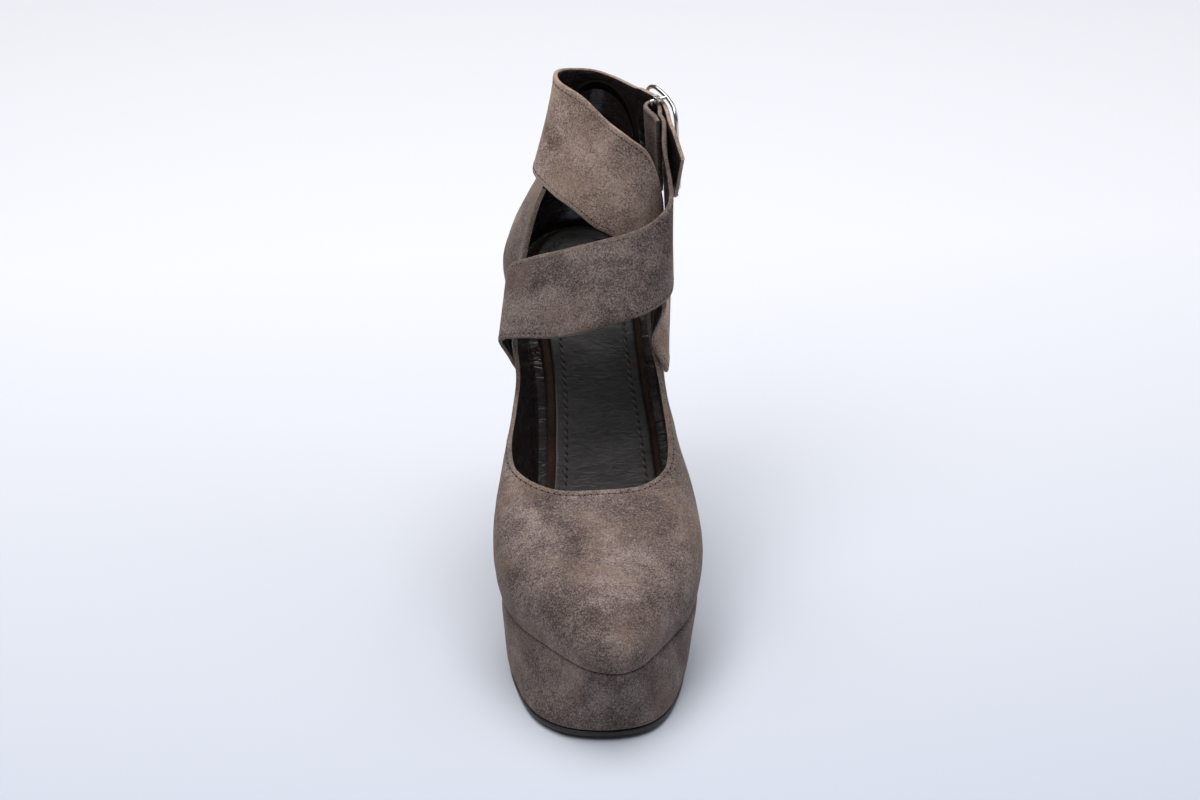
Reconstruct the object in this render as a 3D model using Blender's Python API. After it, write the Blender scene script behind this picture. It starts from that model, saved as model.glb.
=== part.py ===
"""A suede platform pump with two straps that cross over the instep, left foot.

Metres, +Z up, toe towards -Y, outer side of the foot towards +X. The shoe stands
on its sole, with the middle of its box over the origin.
"""

import math

import bmesh
import bpy
import numpy as np
from mathutils import Vector

# Driving dimensions of the last and of the shoe, in metres
LAST_LENGTH = 0.212
BALL_WIDTH = 0.088
HEEL_RISE = 0.098
PLATFORM_HEIGHT = 0.0285
SOLE_THICKNESS = 0.003
COUNTER_HEIGHT = 0.085
UPPER_WALL = 0.0018
LASTING_MARGIN = 0.0070
BOARD_THICKNESS = 0.0032
BOARD_INSET = 0.0034
SOCK_THICKNESS = 0.0010
SOCK_INSET = 0.0034
COVER_LIP = 0.0008
SOLE_INSET = 0.0004
SEAT_INSET = 0.0010
SEAT_BLEND = 0.14
TIP_HEIGHT = 0.0060
STRAP_WIDTH = 0.0390
STRAP_THICKNESS = 0.0020
GAP = 0.0003

# The buckle: a bowed frame on a centre bar, with one prong
BUCKLE_LENGTH = 0.0260
BUCKLE_CORNER = 0.0060
BUCKLE_CROWN = 0.0024
EDGE_CLEARANCE = 0.0009
FRAME_RADIUS = 0.0011
BAR_RADIUS = 0.0014
PRONG_RADIUS = 0.0009
BUCKLE_YAW = math.radians(14.0)
BUCKLE_PITCH = math.radians(14.0)
BUCKLE_LEAN = math.radians(8.0)
TAIL_TIP = (0.0313, 0.0129)
TAIL_HEEL = 0.0170

HALF_BALL = BALL_WIDTH / 2.0
HALF_STRAP = STRAP_WIDTH / 2.0
STAND_OFF = GAP + STRAP_THICKNESS / 2.0
STRAP_PITCH = STRAP_THICKNESS + GAP
LOOP_RADIUS = BAR_RADIUS + STAND_OFF
GROUND_TO_FOOTBED = SOLE_THICKNESS + PLATFORM_HEIGHT + GAP

# How finely the curved pieces are faceted
STEPS_PER_ROW = 3
WALL_STEPS = 11
MARGIN_STEPS = 2
STRAP_STEPS = 4
STRAP_FACETS = 3
SOLE_FACETS = 8
HEEL_STEPS = 12
HEEL_LEVELS = 13


def table(names, *rows):
    """Rows of numbers as arrays under the named columns."""
    columns = np.array(rows, float).T
    return dict(zip(names.split(), columns))


# The plane of the footbed: share of the length, share of the heel's rise
FOOTBED = table(
    "along rise",
    (-0.05, 0.030), (0.00, 0.020), (0.09, 0.007), (0.19, 0.0), (0.38, 0.0),
    (0.43, 0.028), (0.495, 0.112), (0.566, 0.260), (0.660, 0.485), (0.755, 0.704),
    (0.849, 0.883), (0.920, 0.974), (1.000, 1.036), (1.060, 1.080))

# How deep the platform reaches under the footbed, as a share of its height
PLATFORM_DEPTH = table(
    "along depth",
    (-0.05, 1.0), (0.39, 1.0), (0.46, 0.86), (0.53, 0.52), (0.59, 0.20),
    (0.64, 0.055), (0.72, 0.0), (1.06, 0.0))

# One row for each section of the upper, from the toe round to the back of the heel.
# Feather is its lower edge and top its top line: place along the length, middle and
# half width as shares of half the ball width, and the top line's height over the
# footbed as a share of the counter's height. Swells are how far the wall bulges, reach
# is how far the top is drawn towards the feather, rise and drop are shares of the wall.
UPPER = table(
    "feather_along feather_mid feather_half top_along top_mid top_half top_lift "
    "low_swell rise reach drop top_swell",
    (0.014, 0.000, 0.000, 0.365, -0.045, 0.000, 0.508, 0.07, 0.45, 0.46, 0.32, 0.00),
    (0.031, -0.011, 0.215, 0.366, -0.045, 0.215, 0.508, 0.08, 0.45, 0.46, 0.32, 0.02),
    (0.068, -0.023, 0.375, 0.372, -0.023, 0.400, 0.510, 0.10, 0.45, 0.45, 0.32, 0.06),
    (0.133, -0.027, 0.590, 0.388, -0.032, 0.570, 0.525, 0.12, 0.44, 0.42, 0.30, 0.12),
    (0.212, -0.032, 0.818, 0.410, -0.051, 0.697, 0.541, 0.14, 0.43, 0.38, 0.29, 0.15),
    (0.311, -0.030, 0.932, 0.439, -0.062, 0.767, 0.547, 0.15, 0.43, 0.35, 0.30, 0.14),
    (0.415, 0.034, 0.862, 0.481, -0.057, 0.785, 0.541, 0.16, 0.42, 0.33, 0.32, 0.12),
    (0.509, 0.110, 0.718, 0.528, -0.036, 0.748, 0.541, 0.12, 0.39, 0.33, 0.33, 0.07),
    (0.594, 0.120, 0.665, 0.575, -0.025, 0.705, 0.541, 0.07, 0.35, 0.33, 0.33, 0.03),
    (0.675, 0.100, 0.625, 0.632, -0.060, 0.675, 0.553, 0.09, 0.34, 0.33, 0.34, 0.05),
    (0.750, 0.062, 0.631, 0.698, -0.015, 0.632, 0.640, 0.18, 0.41, 0.33, 0.37, 0.12),
    (0.825, 0.008, 0.678, 0.742, 0.055, 0.538, 0.820, 0.25, 0.39, 0.33, 0.39, 0.16),
    (0.892, 0.000, 0.625, 0.792, 0.165, 0.415, 0.920, 0.21, 0.35, 0.33, 0.37, 0.10),
    (0.943, 0.011, 0.477, 0.860, 0.191, 0.334, 0.945, 0.14, 0.37, 0.33, 0.37, 0.03),
    (0.974, 0.011, 0.272, 0.912, 0.182, 0.200, 0.945, 0.12, 0.37, 0.33, 0.37, -0.02),
    (0.986, 0.011, 0.000, 0.930, 0.182, 0.000, 0.950, 0.12, 0.37, 0.33, 0.37, -0.03))
LAST_SECTION = len(UPPER["feather_along"]) - 1
ODD_COLUMNS = ("feather_half", "top_half", "half")

# The platform's lower outline, a row for each of the upper's first sections
PLATFORM_BASE = table(
    "along mid half",
    (0.015, -0.045, 0.000), (0.022, -0.055, 0.255), (0.045, -0.074, 0.472),
    (0.098, -0.091, 0.664), (0.189, -0.076, 0.803), (0.292, -0.055, 0.866),
    (0.406, 0.010, 0.800), (0.500, 0.075, 0.660), (0.585, 0.090, 0.580),
    (0.665, 0.090, 0.550), (0.740, 0.055, 0.550), (0.815, 0.020, 0.540))
PLATFORM_END = 8.4
SHANK_END = 10.5

# The heel under its seat: share of the way down, front and back along, half width
HEEL = table(
    "down front back half",
    (0.00, 0.780, 0.981, 0.640), (0.07, 0.812, 0.978, 0.540), (0.16, 0.842, 0.974, 0.430),
    (0.30, 0.868, 0.967, 0.315), (0.50, 0.886, 0.961, 0.225), (0.75, 0.896, 0.957, 0.168),
    (1.00, 0.899, 0.956, 0.148))

# Where each strap's sewn end lies on the quarter: section and share of the wall's height
LOWER_SEWN = table(
    "low_section low_height high_section high_height",
    (-9.25, 0.06, -10.50, 0.04), (-8.95, 0.50, -10.20, 0.22), (-8.60, 0.97, -9.80, 0.62))
UPPER_SEWN = table(
    "low_section low_height high_section high_height",
    (9.40, 0.06, 10.90, 0.04), (9.05, 0.42, 10.80, 0.20), (8.50, 0.72, 10.55, 0.42))

# The straps' free lengths, an edge each: across the ball, along the last, and lift over
# the footbed as a share of the counter's height
EDGES = "low_across low_along low_lift high_across high_along high_lift"
LOWER_STRAP = table(
    EDGES,
    (-0.868, 0.598, 0.660, -0.745, 0.690, 0.690),
    (-0.690, 0.564, 0.810, -0.560, 0.656, 0.884),
    (-0.405, 0.528, 0.942, -0.252, 0.618, 1.074),
    (-0.173, 0.505, 1.041, -0.055, 0.599, 1.176),
    (0.050, 0.495, 1.105, 0.190, 0.590, 1.241),
    (0.339, 0.505, 1.112, 0.400, 0.592, 1.262),
    (0.540, 0.530, 1.060, 0.610, 0.606, 1.262),
    (0.720, 0.571, 0.965, 0.770, 0.630, 1.262),
    (0.795, 0.622, 0.830, 0.785, 0.665, 1.250),
    (0.805, 0.685, 0.720, 0.750, 0.705, 1.270))
UPPER_STRAP = table(
    EDGES,
    (0.725, 0.5825, 0.533, 0.761, 0.717, 0.538),
    (0.607, 0.592, 0.646, 0.727, 0.7005, 0.722),
    (0.716, 0.601, 0.805, 0.727, 0.689, 0.882),
    (0.550, 0.6085, 0.938, 0.708, 0.676, 1.130),
    (0.248, 0.613, 1.135, 0.585, 0.655, 1.418),
    (0.045, 0.623, 1.170, 0.395, 0.655, 1.515),
    (-0.139, 0.646, 1.175, 0.195, 0.668, 1.557),
    (-0.330, 0.689, 1.100, -0.020, 0.705, 1.545),
    (-0.480, 0.745, 1.010, -0.215, 0.757, 1.440))

# The upper strap behind the ankle, on the quarter: section, lift of its edges over the
# seat as shares of the counter's height, and slack as a share of the strap's thickness
ANKLE_BAND = table(
    "section low_lift high_lift slack",
    (-12.45, 0.670, 1.105, 0.35), (-13.30, 0.620, 1.065, 0.55), (-14.20, 0.580, 1.020, 0.40),
    (15.00, 0.555, 0.995, 0.30), (14.20, 0.540, 0.965, 0.60), (13.30, 0.535, 0.955, 0.90))
SEWN_SLACK = 0.32

# The middle of the buckle's bar, as shares
BAR_MIDDLE = (0.712, 0.820, 0.897)
# The upper strap through the buckle: place forward of the bar as a share of the frame's
# half length, and how far out it lies as a share of its own way over the bar
THROUGH_BUCKLE = table(
    "forward out",
    (-0.95, -0.10), (-0.45, 0.62), (0.00, 1.00), (0.50, 0.92), (1.00, 0.68))
TAIL_BEND = math.radians(2.5)


def shares_read(xs, ys, at):
    """A curve through the rows that never overshoots them."""
    steps = np.diff(xs)
    rates = np.diff(ys) / steps
    slopes = np.zeros(len(xs))
    slopes[0], slopes[-1] = rates[0], rates[-1]
    for row in range(1, len(xs) - 1):
        before, after = rates[row - 1], rates[row]
        if before * after > 0.0:
            slopes[row] = 2.0 * before * after / (before + after)
    row = int(np.clip(np.searchsorted(xs, at, side="right") - 1, 0, len(steps) - 1))
    s = (at - xs[row]) / steps[row]
    start = ys[row] * (1 + 2 * s) * (1 - s) ** 2 + slopes[row] * steps[row] * s * (1 - s) ** 2
    end = ys[row + 1] * s * s * (3 - 2 * s) + slopes[row + 1] * steps[row] * s * s * (s - 1)
    return float(start + end)


def spline_read(values, at):
    """A smooth curve through evenly numbered rows, read at a row number."""
    last = len(values) - 1
    row = min(max(int(math.floor(at)), 0), last - 1)
    s = at - row
    p1, p2 = values[row], values[row + 1]
    before = values[row - 1] if row > 0 else p1 * 2 - p2
    after = values[row + 2] if row + 2 <= last else p2 * 2 - p1
    rise, fall = (p2 - before) / 2.0, (after - p1) / 2.0
    return (p1 * ((1 + 2 * s) * (1 - s) ** 2) + rise * (s * (1 - s) ** 2)
            + p2 * (s * s * (3 - 2 * s)) + fall * (s * s * (s - 1)))


def footbed(along):
    """Height of the footbed's plane at a share of the length."""
    return GROUND_TO_FOOTBED + HEEL_RISE * shares_read(FOOTBED["along"], FOOTBED["rise"], along)


def platform_depth(along):
    """How deep the platform reaches under the footbed at a share of the length."""
    return PLATFORM_HEIGHT * shares_read(PLATFORM_DEPTH["along"], PLATFORM_DEPTH["depth"], along)


def platform_base(along):
    """Height of the platform's underside at a share of the length."""
    return footbed(along) - platform_depth(along)


def slant(surface, along):
    """How much taller a layer measures on a surface's slope than square to it."""
    step = 0.01
    rise = (surface(along + step) - surface(along - step)) / (2.0 * step * LAST_LENGTH)
    return math.hypot(1.0, rise)


def place(across, along, lift):
    """A point from its shares: across the ball, along the last, over the footbed."""
    return Vector((across * HALF_BALL, along * LAST_LENGTH, footbed(along) + lift * COUNTER_HEIGHT))


def section_value(rows, column, section):
    """A column read at a signed section; widths change sign from side to side."""
    values = rows[column]
    odd = column in ODD_COLUMNS
    sign = -1.0 if odd else 1.0
    mirrored = np.concatenate(([sign * values[1]], values, [sign * values[-2]]))
    value = spline_read(mirrored, abs(section) + 1.0)
    return value * math.copysign(1.0, section) if odd else value


def wrapped(section):
    """A section number brought back between the two ways round the shoe."""
    return (section + LAST_SECTION) % (2.0 * LAST_SECTION) - LAST_SECTION


def upper_line(edge, section):
    """Plan point of the upper's feather or top line."""
    mid = section_value(UPPER, edge + "_mid", section)
    half = section_value(UPPER, edge + "_half", section)
    along = section_value(UPPER, edge + "_along", section)
    return Vector(((mid + half) * HALF_BALL, along * LAST_LENGTH, 0.0))


def feather_normal(section):
    """Outward direction of the feather line in plan."""
    step = 0.05
    run = upper_line("feather", wrapped(section + step)) - upper_line("feather", wrapped(section - step))
    return Vector((run.y, -run.x, 0.0)).normalized()


def upper_point(section, height):
    """Outer face of the upper: section round the shoe, share of the wall's height."""
    low = upper_line("feather", section)
    high = upper_line("top", section)
    normal = feather_normal(section)
    drawn_in = (low - high) * section_value(UPPER, "reach", section)
    wall = section_value(UPPER, "top_lift", section) * COUNTER_HEIGHT
    low = on_footbed(low, GAP)
    high.z = footbed(high.y / LAST_LENGTH) + wall
    low_handle = low + normal * section_value(UPPER, "low_swell", section) * HALF_BALL
    low_handle.z += section_value(UPPER, "rise", section) * wall
    high_handle = high + drawn_in + normal * section_value(UPPER, "top_swell", section) * HALF_BALL
    high_handle.z -= section_value(UPPER, "drop", section) * wall
    s, r = height, 1.0 - height
    return low * r ** 3 + low_handle * (3 * r * r * s) + high_handle * (3 * r * s * s) + high * s ** 3


def upper_normal(section, height):
    """Outward direction of the upper's face."""
    step = 0.02
    up = upper_point(section, min(height + step, 1.0)) - upper_point(section, max(height - step, 0.0))
    onward = upper_point(wrapped(section + step), height) - upper_point(wrapped(section - step), height)
    return onward.cross(up).normalized()


def on_upper(section, height, slack):
    """Where a strap's middle lies on the upper's outer face."""
    off = STAND_OFF + slack * STRAP_THICKNESS
    return upper_point(section, height) + upper_normal(section, height) * off


def on_upper_at_lift(section, lift, slack):
    """Where a strap's middle lies on the quarter, at a height over the heel's seat."""
    target = footbed(UPPER["top_along"][-1]) + lift * COUNTER_HEIGHT
    low, high = 0.0, 1.0
    for _ in range(30):
        middle = (low + high) / 2.0
        if upper_point(section, middle).z < target:
            low = middle
        else:
            high = middle
    point = on_upper(section, low, slack)
    point.z = target
    return point


def material(name, colour, roughness, metallic=0.0):
    """A Principled material with the piece's colour."""
    made = bpy.data.materials.new(name)
    made.use_nodes = True
    shader = made.node_tree.nodes["Principled BSDF"]
    shader.inputs["Base Color"].default_value = (*colour, 1.0)
    shader.inputs["Roughness"].default_value = roughness
    shader.inputs["Metallic"].default_value = metallic
    return made


def finished(name, bm, finish, sharp_degrees=40.0):
    """Turns a bmesh into a named object with its material."""
    bmesh.ops.remove_doubles(bm, verts=bm.verts, dist=1e-6)
    bmesh.ops.recalc_face_normals(bm, faces=bm.faces)
    mesh = bpy.data.meshes.new(name)
    bm.to_mesh(mesh)
    bm.free()
    mesh.shade_smooth()
    mesh.set_sharp_from_angle(angle=math.radians(sharp_degrees))
    mesh.materials.append(finish)
    piece = bpy.data.objects.new(name, mesh)
    bpy.context.scene.collection.objects.link(piece)
    return piece


def grid(along_steps, across_steps):
    """A grid, with the shares along and across of each of its vertices."""
    bm = bmesh.new()
    bmesh.ops.create_grid(bm, x_segments=along_steps, y_segments=across_steps, size=0.5)
    along = bm.verts.layers.float.new("along")
    across = bm.verts.layers.float.new("across")
    for vert in bm.verts:
        vert[along] = vert.co.x + 0.5
        vert[across] = vert.co.y + 0.5
    return bm, along, across


def stacked(name, levels, along_steps, across_steps, finish, sharp_degrees=40.0):
    """A closed solid: a grid set out by the first level, extruded through the others."""
    bm, along, across = grid(along_steps, across_steps)
    for vert in bm.verts:
        vert.co = levels[0](vert[along], vert[across])
    faces = list(bm.faces)
    for level in levels[1:]:
        edges = list({edge for face in faces for edge in face.edges})
        moved = bmesh.ops.extrude_face_region(bm, geom=faces + edges)["geom"]
        faces = [item for item in moved if isinstance(item, bmesh.types.BMFace)]
        for vert in {corner for face in faces for corner in face.verts}:
            vert.co = level(vert[along], vert[across])
    return finished(name, bm, finish, sharp_degrees)


def feather_inside(section, across, inset):
    """Plan point between the two feather lines, set in from both."""
    right = upper_line("feather", section) - feather_normal(section) * inset
    left = upper_line("feather", -section) - feather_normal(-section) * inset
    if right.x < left.x:
        left = right = (left + right) / 2.0
    return left.lerp(right, across)


def base_inside(section, across, inset):
    """Plan point between the two sides of the platform's lower outline."""
    mid = section_value(PLATFORM_BASE, "mid", section)
    half = section_value(PLATFORM_BASE, "half", section) * HALF_BALL
    along = section_value(PLATFORM_BASE, "along", section) * LAST_LENGTH
    middle = section_value(PLATFORM_BASE, "along", 5.0) * LAST_LENGTH
    shrunk = 1.0 - inset / HALF_BALL
    x = mid * HALF_BALL + (2.0 * across - 1.0) * half * shrunk
    return Vector((x, middle + (along - middle) * shrunk, 0.0))


def on_footbed(point, lift):
    """The plan point at a distance square to the footbed."""
    along = point.y / LAST_LENGTH
    return Vector((point.x, point.y, footbed(along) + lift * slant(footbed, along)))


def build_platform(finish):
    """The covered platform: pointed join above, rounder outline below."""
    def level(share):
        def placed(a, b):
            section = a * PLATFORM_END
            high = feather_inside(section, b, -COVER_LIP)
            low = base_inside(section, b, 0.0)
            point = high.lerp(low, share ** 1.5)
            along = point.y / LAST_LENGTH
            return Vector((point.x, point.y, footbed(along) - share * platform_depth(along)))
        return placed
    levels = [level(share) for share in (0.0, 0.2, 0.45, 0.72, 0.92, 1.0)]
    steps = int(PLATFORM_END * STEPS_PER_ROW)
    return stacked("platform", levels, steps, SOLE_FACETS, finish)


def build_outsole(finish):
    """The thin sole under the platform and along the arch to the heel."""
    def level(inset, depth):
        def placed(a, b):
            point = base_inside(a * SHANK_END, b, inset)
            along = point.y / LAST_LENGTH
            height = platform_base(along) - (GAP + depth) * slant(platform_base, along)
            return Vector((point.x, point.y, max(height, SOLE_THICKNESS - depth)))
        return placed
    levels = [level(SOLE_INSET, 0.0), level(SOLE_INSET, SOLE_THICKNESS * 0.6),
              level(SOLE_INSET * 4.0, SOLE_THICKNESS)]
    steps = int(SHANK_END * STEPS_PER_ROW)
    return stacked("outsole", levels, steps, SOLE_FACETS, finish)


def heel_outline(down, a, b):
    """Plan point in one of the heel's outlines: flat at the front, round behind."""
    front, back, half = (shares_read(HEEL["down"], HEEL[name], down) for name in ("front", "back", "half"))
    round_share = min(max(0.0, (a - 0.42) / 0.58), 1.0)
    hollow = (1.0 - (2.0 * b - 1.0) ** 2) * (1.0 - a) * half * 0.16
    half *= HALF_BALL * (1.0 - round_share ** 2.3) ** (1.0 / 2.3)
    return Vector(((2.0 * b - 1.0) * half, (front + (back - front) * (a + hollow)) * LAST_LENGTH, 0.0))


def heel_seat(a, b):
    """Plan point of the seat: the feather line behind the breast, set in."""
    first = SHANK_END + 0.12
    section = first + (LAST_SECTION - first) * a
    return feather_inside(section, b, SEAT_INSET)


def build_heel(finish):
    """The tall slim heel, from the seat down to its tip."""
    foot = TIP_HEIGHT + GAP

    def level(share):
        def placed(a, b):
            down = share ** 1.6
            seat = heel_seat(a, b)
            blend = min(1.0, down / SEAT_BLEND)
            plan = seat.lerp(heel_outline(down, a, b), blend * (2.0 - blend))
            height = footbed(seat.y / LAST_LENGTH) * (1.0 - down) + foot * down
            return Vector((plan.x, plan.y, height))
        return placed
    levels = [level(number / HEEL_LEVELS) for number in range(HEEL_LEVELS + 1)]
    return stacked("heel", levels, HEEL_STEPS, SOLE_FACETS, finish)


def build_heel_tip(finish):
    """The hard top piece that the heel stands on."""
    def level(height):
        def placed(a, b):
            plan = heel_outline(1.0, a, b)
            return Vector((plan.x, plan.y, height))
        return placed
    return stacked("heel_tip", [level(TIP_HEIGHT), level(0.0)], HEEL_STEPS, SOLE_FACETS, finish)


def inner_layer(name, inset, low, high, finish):
    """A thin layer on the footbed, set in from the feather line."""
    def level(height, more_inset):
        def placed(a, b):
            return on_footbed(feather_inside(a * LAST_SECTION, b, inset + more_inset), height)
        return placed
    thickness = high - low
    levels = [level(high, thickness * 0.35), level(high - thickness * 0.3, 0.0), level(low, 0.0)]
    steps = LAST_SECTION * 2
    return stacked(name, levels, steps, SOLE_FACETS, finish)


def build_upper(finish):
    """The vamp and quarters as one hollow wall, open above and below."""
    bm, round_share, up_share = grid(2 * LAST_SECTION * STEPS_PER_ROW, MARGIN_STEPS + WALL_STEPS)
    for vert in bm.verts:
        section = wrapped(vert[round_share] * 2.0 * LAST_SECTION)
        row = vert[up_share] * (MARGIN_STEPS + WALL_STEPS) - MARGIN_STEPS
        vert.co = upper_point(section, max(row, 0.0) / WALL_STEPS)
        if row < -0.5:
            inset = LASTING_MARGIN * (-row / MARGIN_STEPS)
            vert.co = on_footbed(upper_line("feather", section) - feather_normal(section) * inset, GAP)
    piece = finished("upper", bm, finish)
    face = piece.data.polygons[0]
    middle = sum((v.co for v in piece.data.vertices), Vector()) / len(piece.data.vertices)
    if face.normal.dot(face.center - middle) < 0.0:
        piece.data.flip_normals()
    wall = piece.modifiers.new("wall", "SOLIDIFY")
    wall.thickness = UPPER_WALL
    wall.offset = -1.0
    wall.use_even_offset = True
    return piece


def free_rows(rows):
    """The two edges of a strap's free length."""
    edges = []
    for values in zip(*(rows[name] for name in EDGES.split())):
        edges.append((place(*values[:3]), place(*values[3:])))
    return edges


def sewn_rows(rows):
    """The two edges of a strap's sewn end on the quarter."""
    edges = []
    for low_section, low_height, high_section, high_height in zip(*rows.values()):
        edges.append((on_upper(low_section, low_height, SEWN_SLACK),
                      on_upper(high_section, high_height, SEWN_SLACK)))
    return edges


class BuckleFrame:
    """The buckle's own directions: forward to the toe, up across the strap, out."""

    def __init__(self):
        flat = math.cos(BUCKLE_PITCH)
        self.middle = place(*BAR_MIDDLE)
        self.forward = Vector((flat * math.sin(BUCKLE_YAW), -flat * math.cos(BUCKLE_YAW), -math.sin(BUCKLE_PITCH)))
        upright = Vector((-math.sin(BUCKLE_LEAN), 0.0, math.cos(BUCKLE_LEAN)))
        self.up = (upright - self.forward * upright.dot(self.forward)).normalized()
        self.out = self.up.cross(self.forward).normalized()

    def point(self, forward, up, out):
        """A point from its distances along the buckle's directions."""
        return self.middle + self.forward * forward + self.up * up + self.out * out

    def edges(self, forward, out):
        """Both edges of a strap that lies across the buckle."""
        return self.point(forward, -HALF_STRAP, out), self.point(forward, HALF_STRAP, out)


OVER_BAR = LOOP_RADIUS + STRAP_PITCH
HALF_FRAME = BUCKLE_LENGTH / 2.0
FRAME_TOP = HALF_STRAP + EDGE_CLEARANCE + FRAME_RADIUS


def frame_out(forward):
    """How far out the bowed frame lies, over the straps that pass under it."""
    share = forward / HALF_FRAME
    clear = STRAP_THICKNESS / 2.0 + 2.5 * GAP + FRAME_RADIUS
    rear = THROUGH_BUCKLE["out"][0] * OVER_BAR + clear
    front = THROUGH_BUCKLE["out"][-1] * OVER_BAR + clear
    bow = BUCKLE_CROWN * (1.0 - share * share)
    return (rear + front) / 2.0 + (front - rear) / 2.0 * share + bow


def lower_strap_rows(buckle):
    """The lower strap: sewn inside, over the instep, round the buckle's bar."""
    rows = sewn_rows(LOWER_SEWN) + free_rows(LOWER_STRAP)
    rest = STRAP_PITCH / 2.0
    for forward, out in ((0.95, rest * 0.8), (0.55, rest), (0.22, LOOP_RADIUS * 0.9)):
        rows.append(buckle.edges(forward * HALF_FRAME, out))
    for degrees in range(90, 271, 45):
        turn = math.radians(degrees)
        rows.append(buckle.edges(math.cos(turn) * LOOP_RADIUS, math.sin(turn) * LOOP_RADIUS))
    for forward, out in ((0.24, -LOOP_RADIUS * 0.85), (0.55, -rest), (0.85, -rest)):
        rows.append(buckle.edges(forward * HALF_FRAME, out))
    return rows


def upper_strap_rows(buckle):
    """The upper strap: sewn outside, over the instep, round the ankle, to its tail."""
    rows = sewn_rows(UPPER_SEWN) + free_rows(UPPER_STRAP)
    for section, low, high, slack in zip(*ANKLE_BAND.values()):
        rows.append((on_upper_at_lift(section, low, slack), on_upper_at_lift(section, high, slack)))
    for forward, out in zip(THROUGH_BUCKLE["forward"], THROUGH_BUCKLE["out"]):
        rows.append(buckle.edges(forward * HALF_FRAME, out * OVER_BAR))
    last_out = THROUGH_BUCKLE["out"][-1] * OVER_BAR
    tip_forward, tip_up = TAIL_TIP
    for share in (0.4, 1.0):
        ends = []
        for forward, up, end_up in ((TAIL_HEEL, -HALF_STRAP, -HALF_STRAP), (tip_forward, HALF_STRAP, tip_up)):
            beyond = (forward - HALF_FRAME) * share
            height = up + (end_up - up) * share ** 1.6
            ends.append(buckle.point(HALF_FRAME + beyond, height, last_out - math.tan(TAIL_BEND) * beyond))
        rows.append(tuple(ends))
    return rows


def build_strap(name, rows, facing, finish):
    """A strap through its pairs of edges; facing tells which way its outer side looks."""
    lows = [low for low, _ in rows]
    highs = [high for _, high in rows]
    last = len(rows) - 1

    def middle(a, b):
        low, high = spline_read(lows, a * last), spline_read(highs, a * last)
        return low.lerp(high, b)

    def level(side):
        def placed(a, b):
            step = 0.15 / last
            onward = middle(min(a + step, 1.0), b) - middle(max(a - step, 0.0), b)
            upward = middle(a, 1.0) - middle(a, 0.0)
            normal = onward.cross(upward).normalized() * facing
            return middle(a, b) + normal * side * STRAP_THICKNESS / 2.0
        return placed
    return stacked(name, [level(1.0), level(-1.0)], last * STRAP_STEPS, STRAP_FACETS, finish)


def bevelled_curve(name, points, radius, cyclic=False):
    """A round bar along points, as a closed mesh."""
    curve = bpy.data.curves.new(name, "CURVE")
    curve.dimensions = "3D"
    curve.bevel_depth = radius
    curve.bevel_resolution = 1
    curve.use_fill_caps = not cyclic
    spline = curve.splines.new("POLY")
    spline.points.add(len(points) - 1)
    spline.use_cyclic_u = cyclic
    for target, point in zip(spline.points, points):
        target.co = (*point, 1.0)
    holder = bpy.data.objects.new(name + "_curve", curve)
    bpy.context.scene.collection.objects.link(holder)
    mesh = bpy.data.meshes.new_from_object(holder.evaluated_get(bpy.context.evaluated_depsgraph_get()))
    bpy.data.objects.remove(holder)
    bm = bmesh.new()
    bm.from_mesh(mesh)
    return bm


def frame_points(buckle):
    """The bowed frame's middle line: a rectangle with round corners."""
    points = []
    for side_forward, side_up, first in ((1, 1, 0), (-1, 1, 90), (-1, -1, 180), (1, -1, 270)):
        centre_forward = side_forward * (HALF_FRAME - BUCKLE_CORNER)
        centre_up = side_up * (FRAME_TOP - BUCKLE_CORNER)
        for step in range(4):
            turn = math.radians(first + step * 30.0)
            forward = centre_forward + math.cos(turn) * BUCKLE_CORNER
            up = centre_up + math.sin(turn) * BUCKLE_CORNER
            points.append(buckle.point(forward, up, frame_out(forward)))
    return points


def build_buckle(buckle, finish):
    """The frame with its centre bar as one piece, and the prong on the strap."""
    frame = finished("buckle_frame", bevelled_curve("frame", frame_points(buckle), FRAME_RADIUS, True), finish)
    top = frame_out(0.0)
    bar_line = [buckle.point(0.0, -FRAME_TOP, top), buckle.point(0.0, -FRAME_TOP, 0.0),
                buckle.point(0.0, FRAME_TOP, 0.0), buckle.point(0.0, FRAME_TOP, top)]
    bar = finished("buckle_bar", bevelled_curve("bar", bar_line, BAR_RADIUS), finish)
    bar.hide_render = True
    bar.display_type = "WIRE"
    union = frame.modifiers.new("bar", "BOOLEAN")
    union.operation = "UNION"
    union.object = bar
    over = OVER_BAR + STRAP_THICKNESS / 2.0 + GAP + PRONG_RADIUS
    rear = frame_out(-HALF_FRAME) + FRAME_RADIUS + GAP + PRONG_RADIUS
    prong_line = [buckle.point(0.12 * HALF_FRAME, 0.0, over), buckle.point(-0.2 * HALF_FRAME, 0.0, over),
                  buckle.point(-1.1 * HALF_FRAME, 0.0, rear)]
    finished("buckle_prong", bevelled_curve("prong", prong_line, PRONG_RADIUS), finish)


def stand_on_origin():
    """Moves the shoe so that its box stands centred over the origin."""
    bpy.context.view_layer.update()
    pieces = [item for item in bpy.context.scene.objects if item.type == "MESH"]
    corners = [item.matrix_world @ vert.co for item in pieces for vert in item.data.vertices]
    low = Vector([min(corner[axis] for corner in corners) for axis in range(3)])
    high = Vector([max(corner[axis] for corner in corners) for axis in range(3)])
    shift = Vector((-(low.x + high.x) / 2.0, -(low.y + high.y) / 2.0, -low.z))
    for item in pieces:
        for vert in item.data.vertices:
            vert.co += shift


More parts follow.
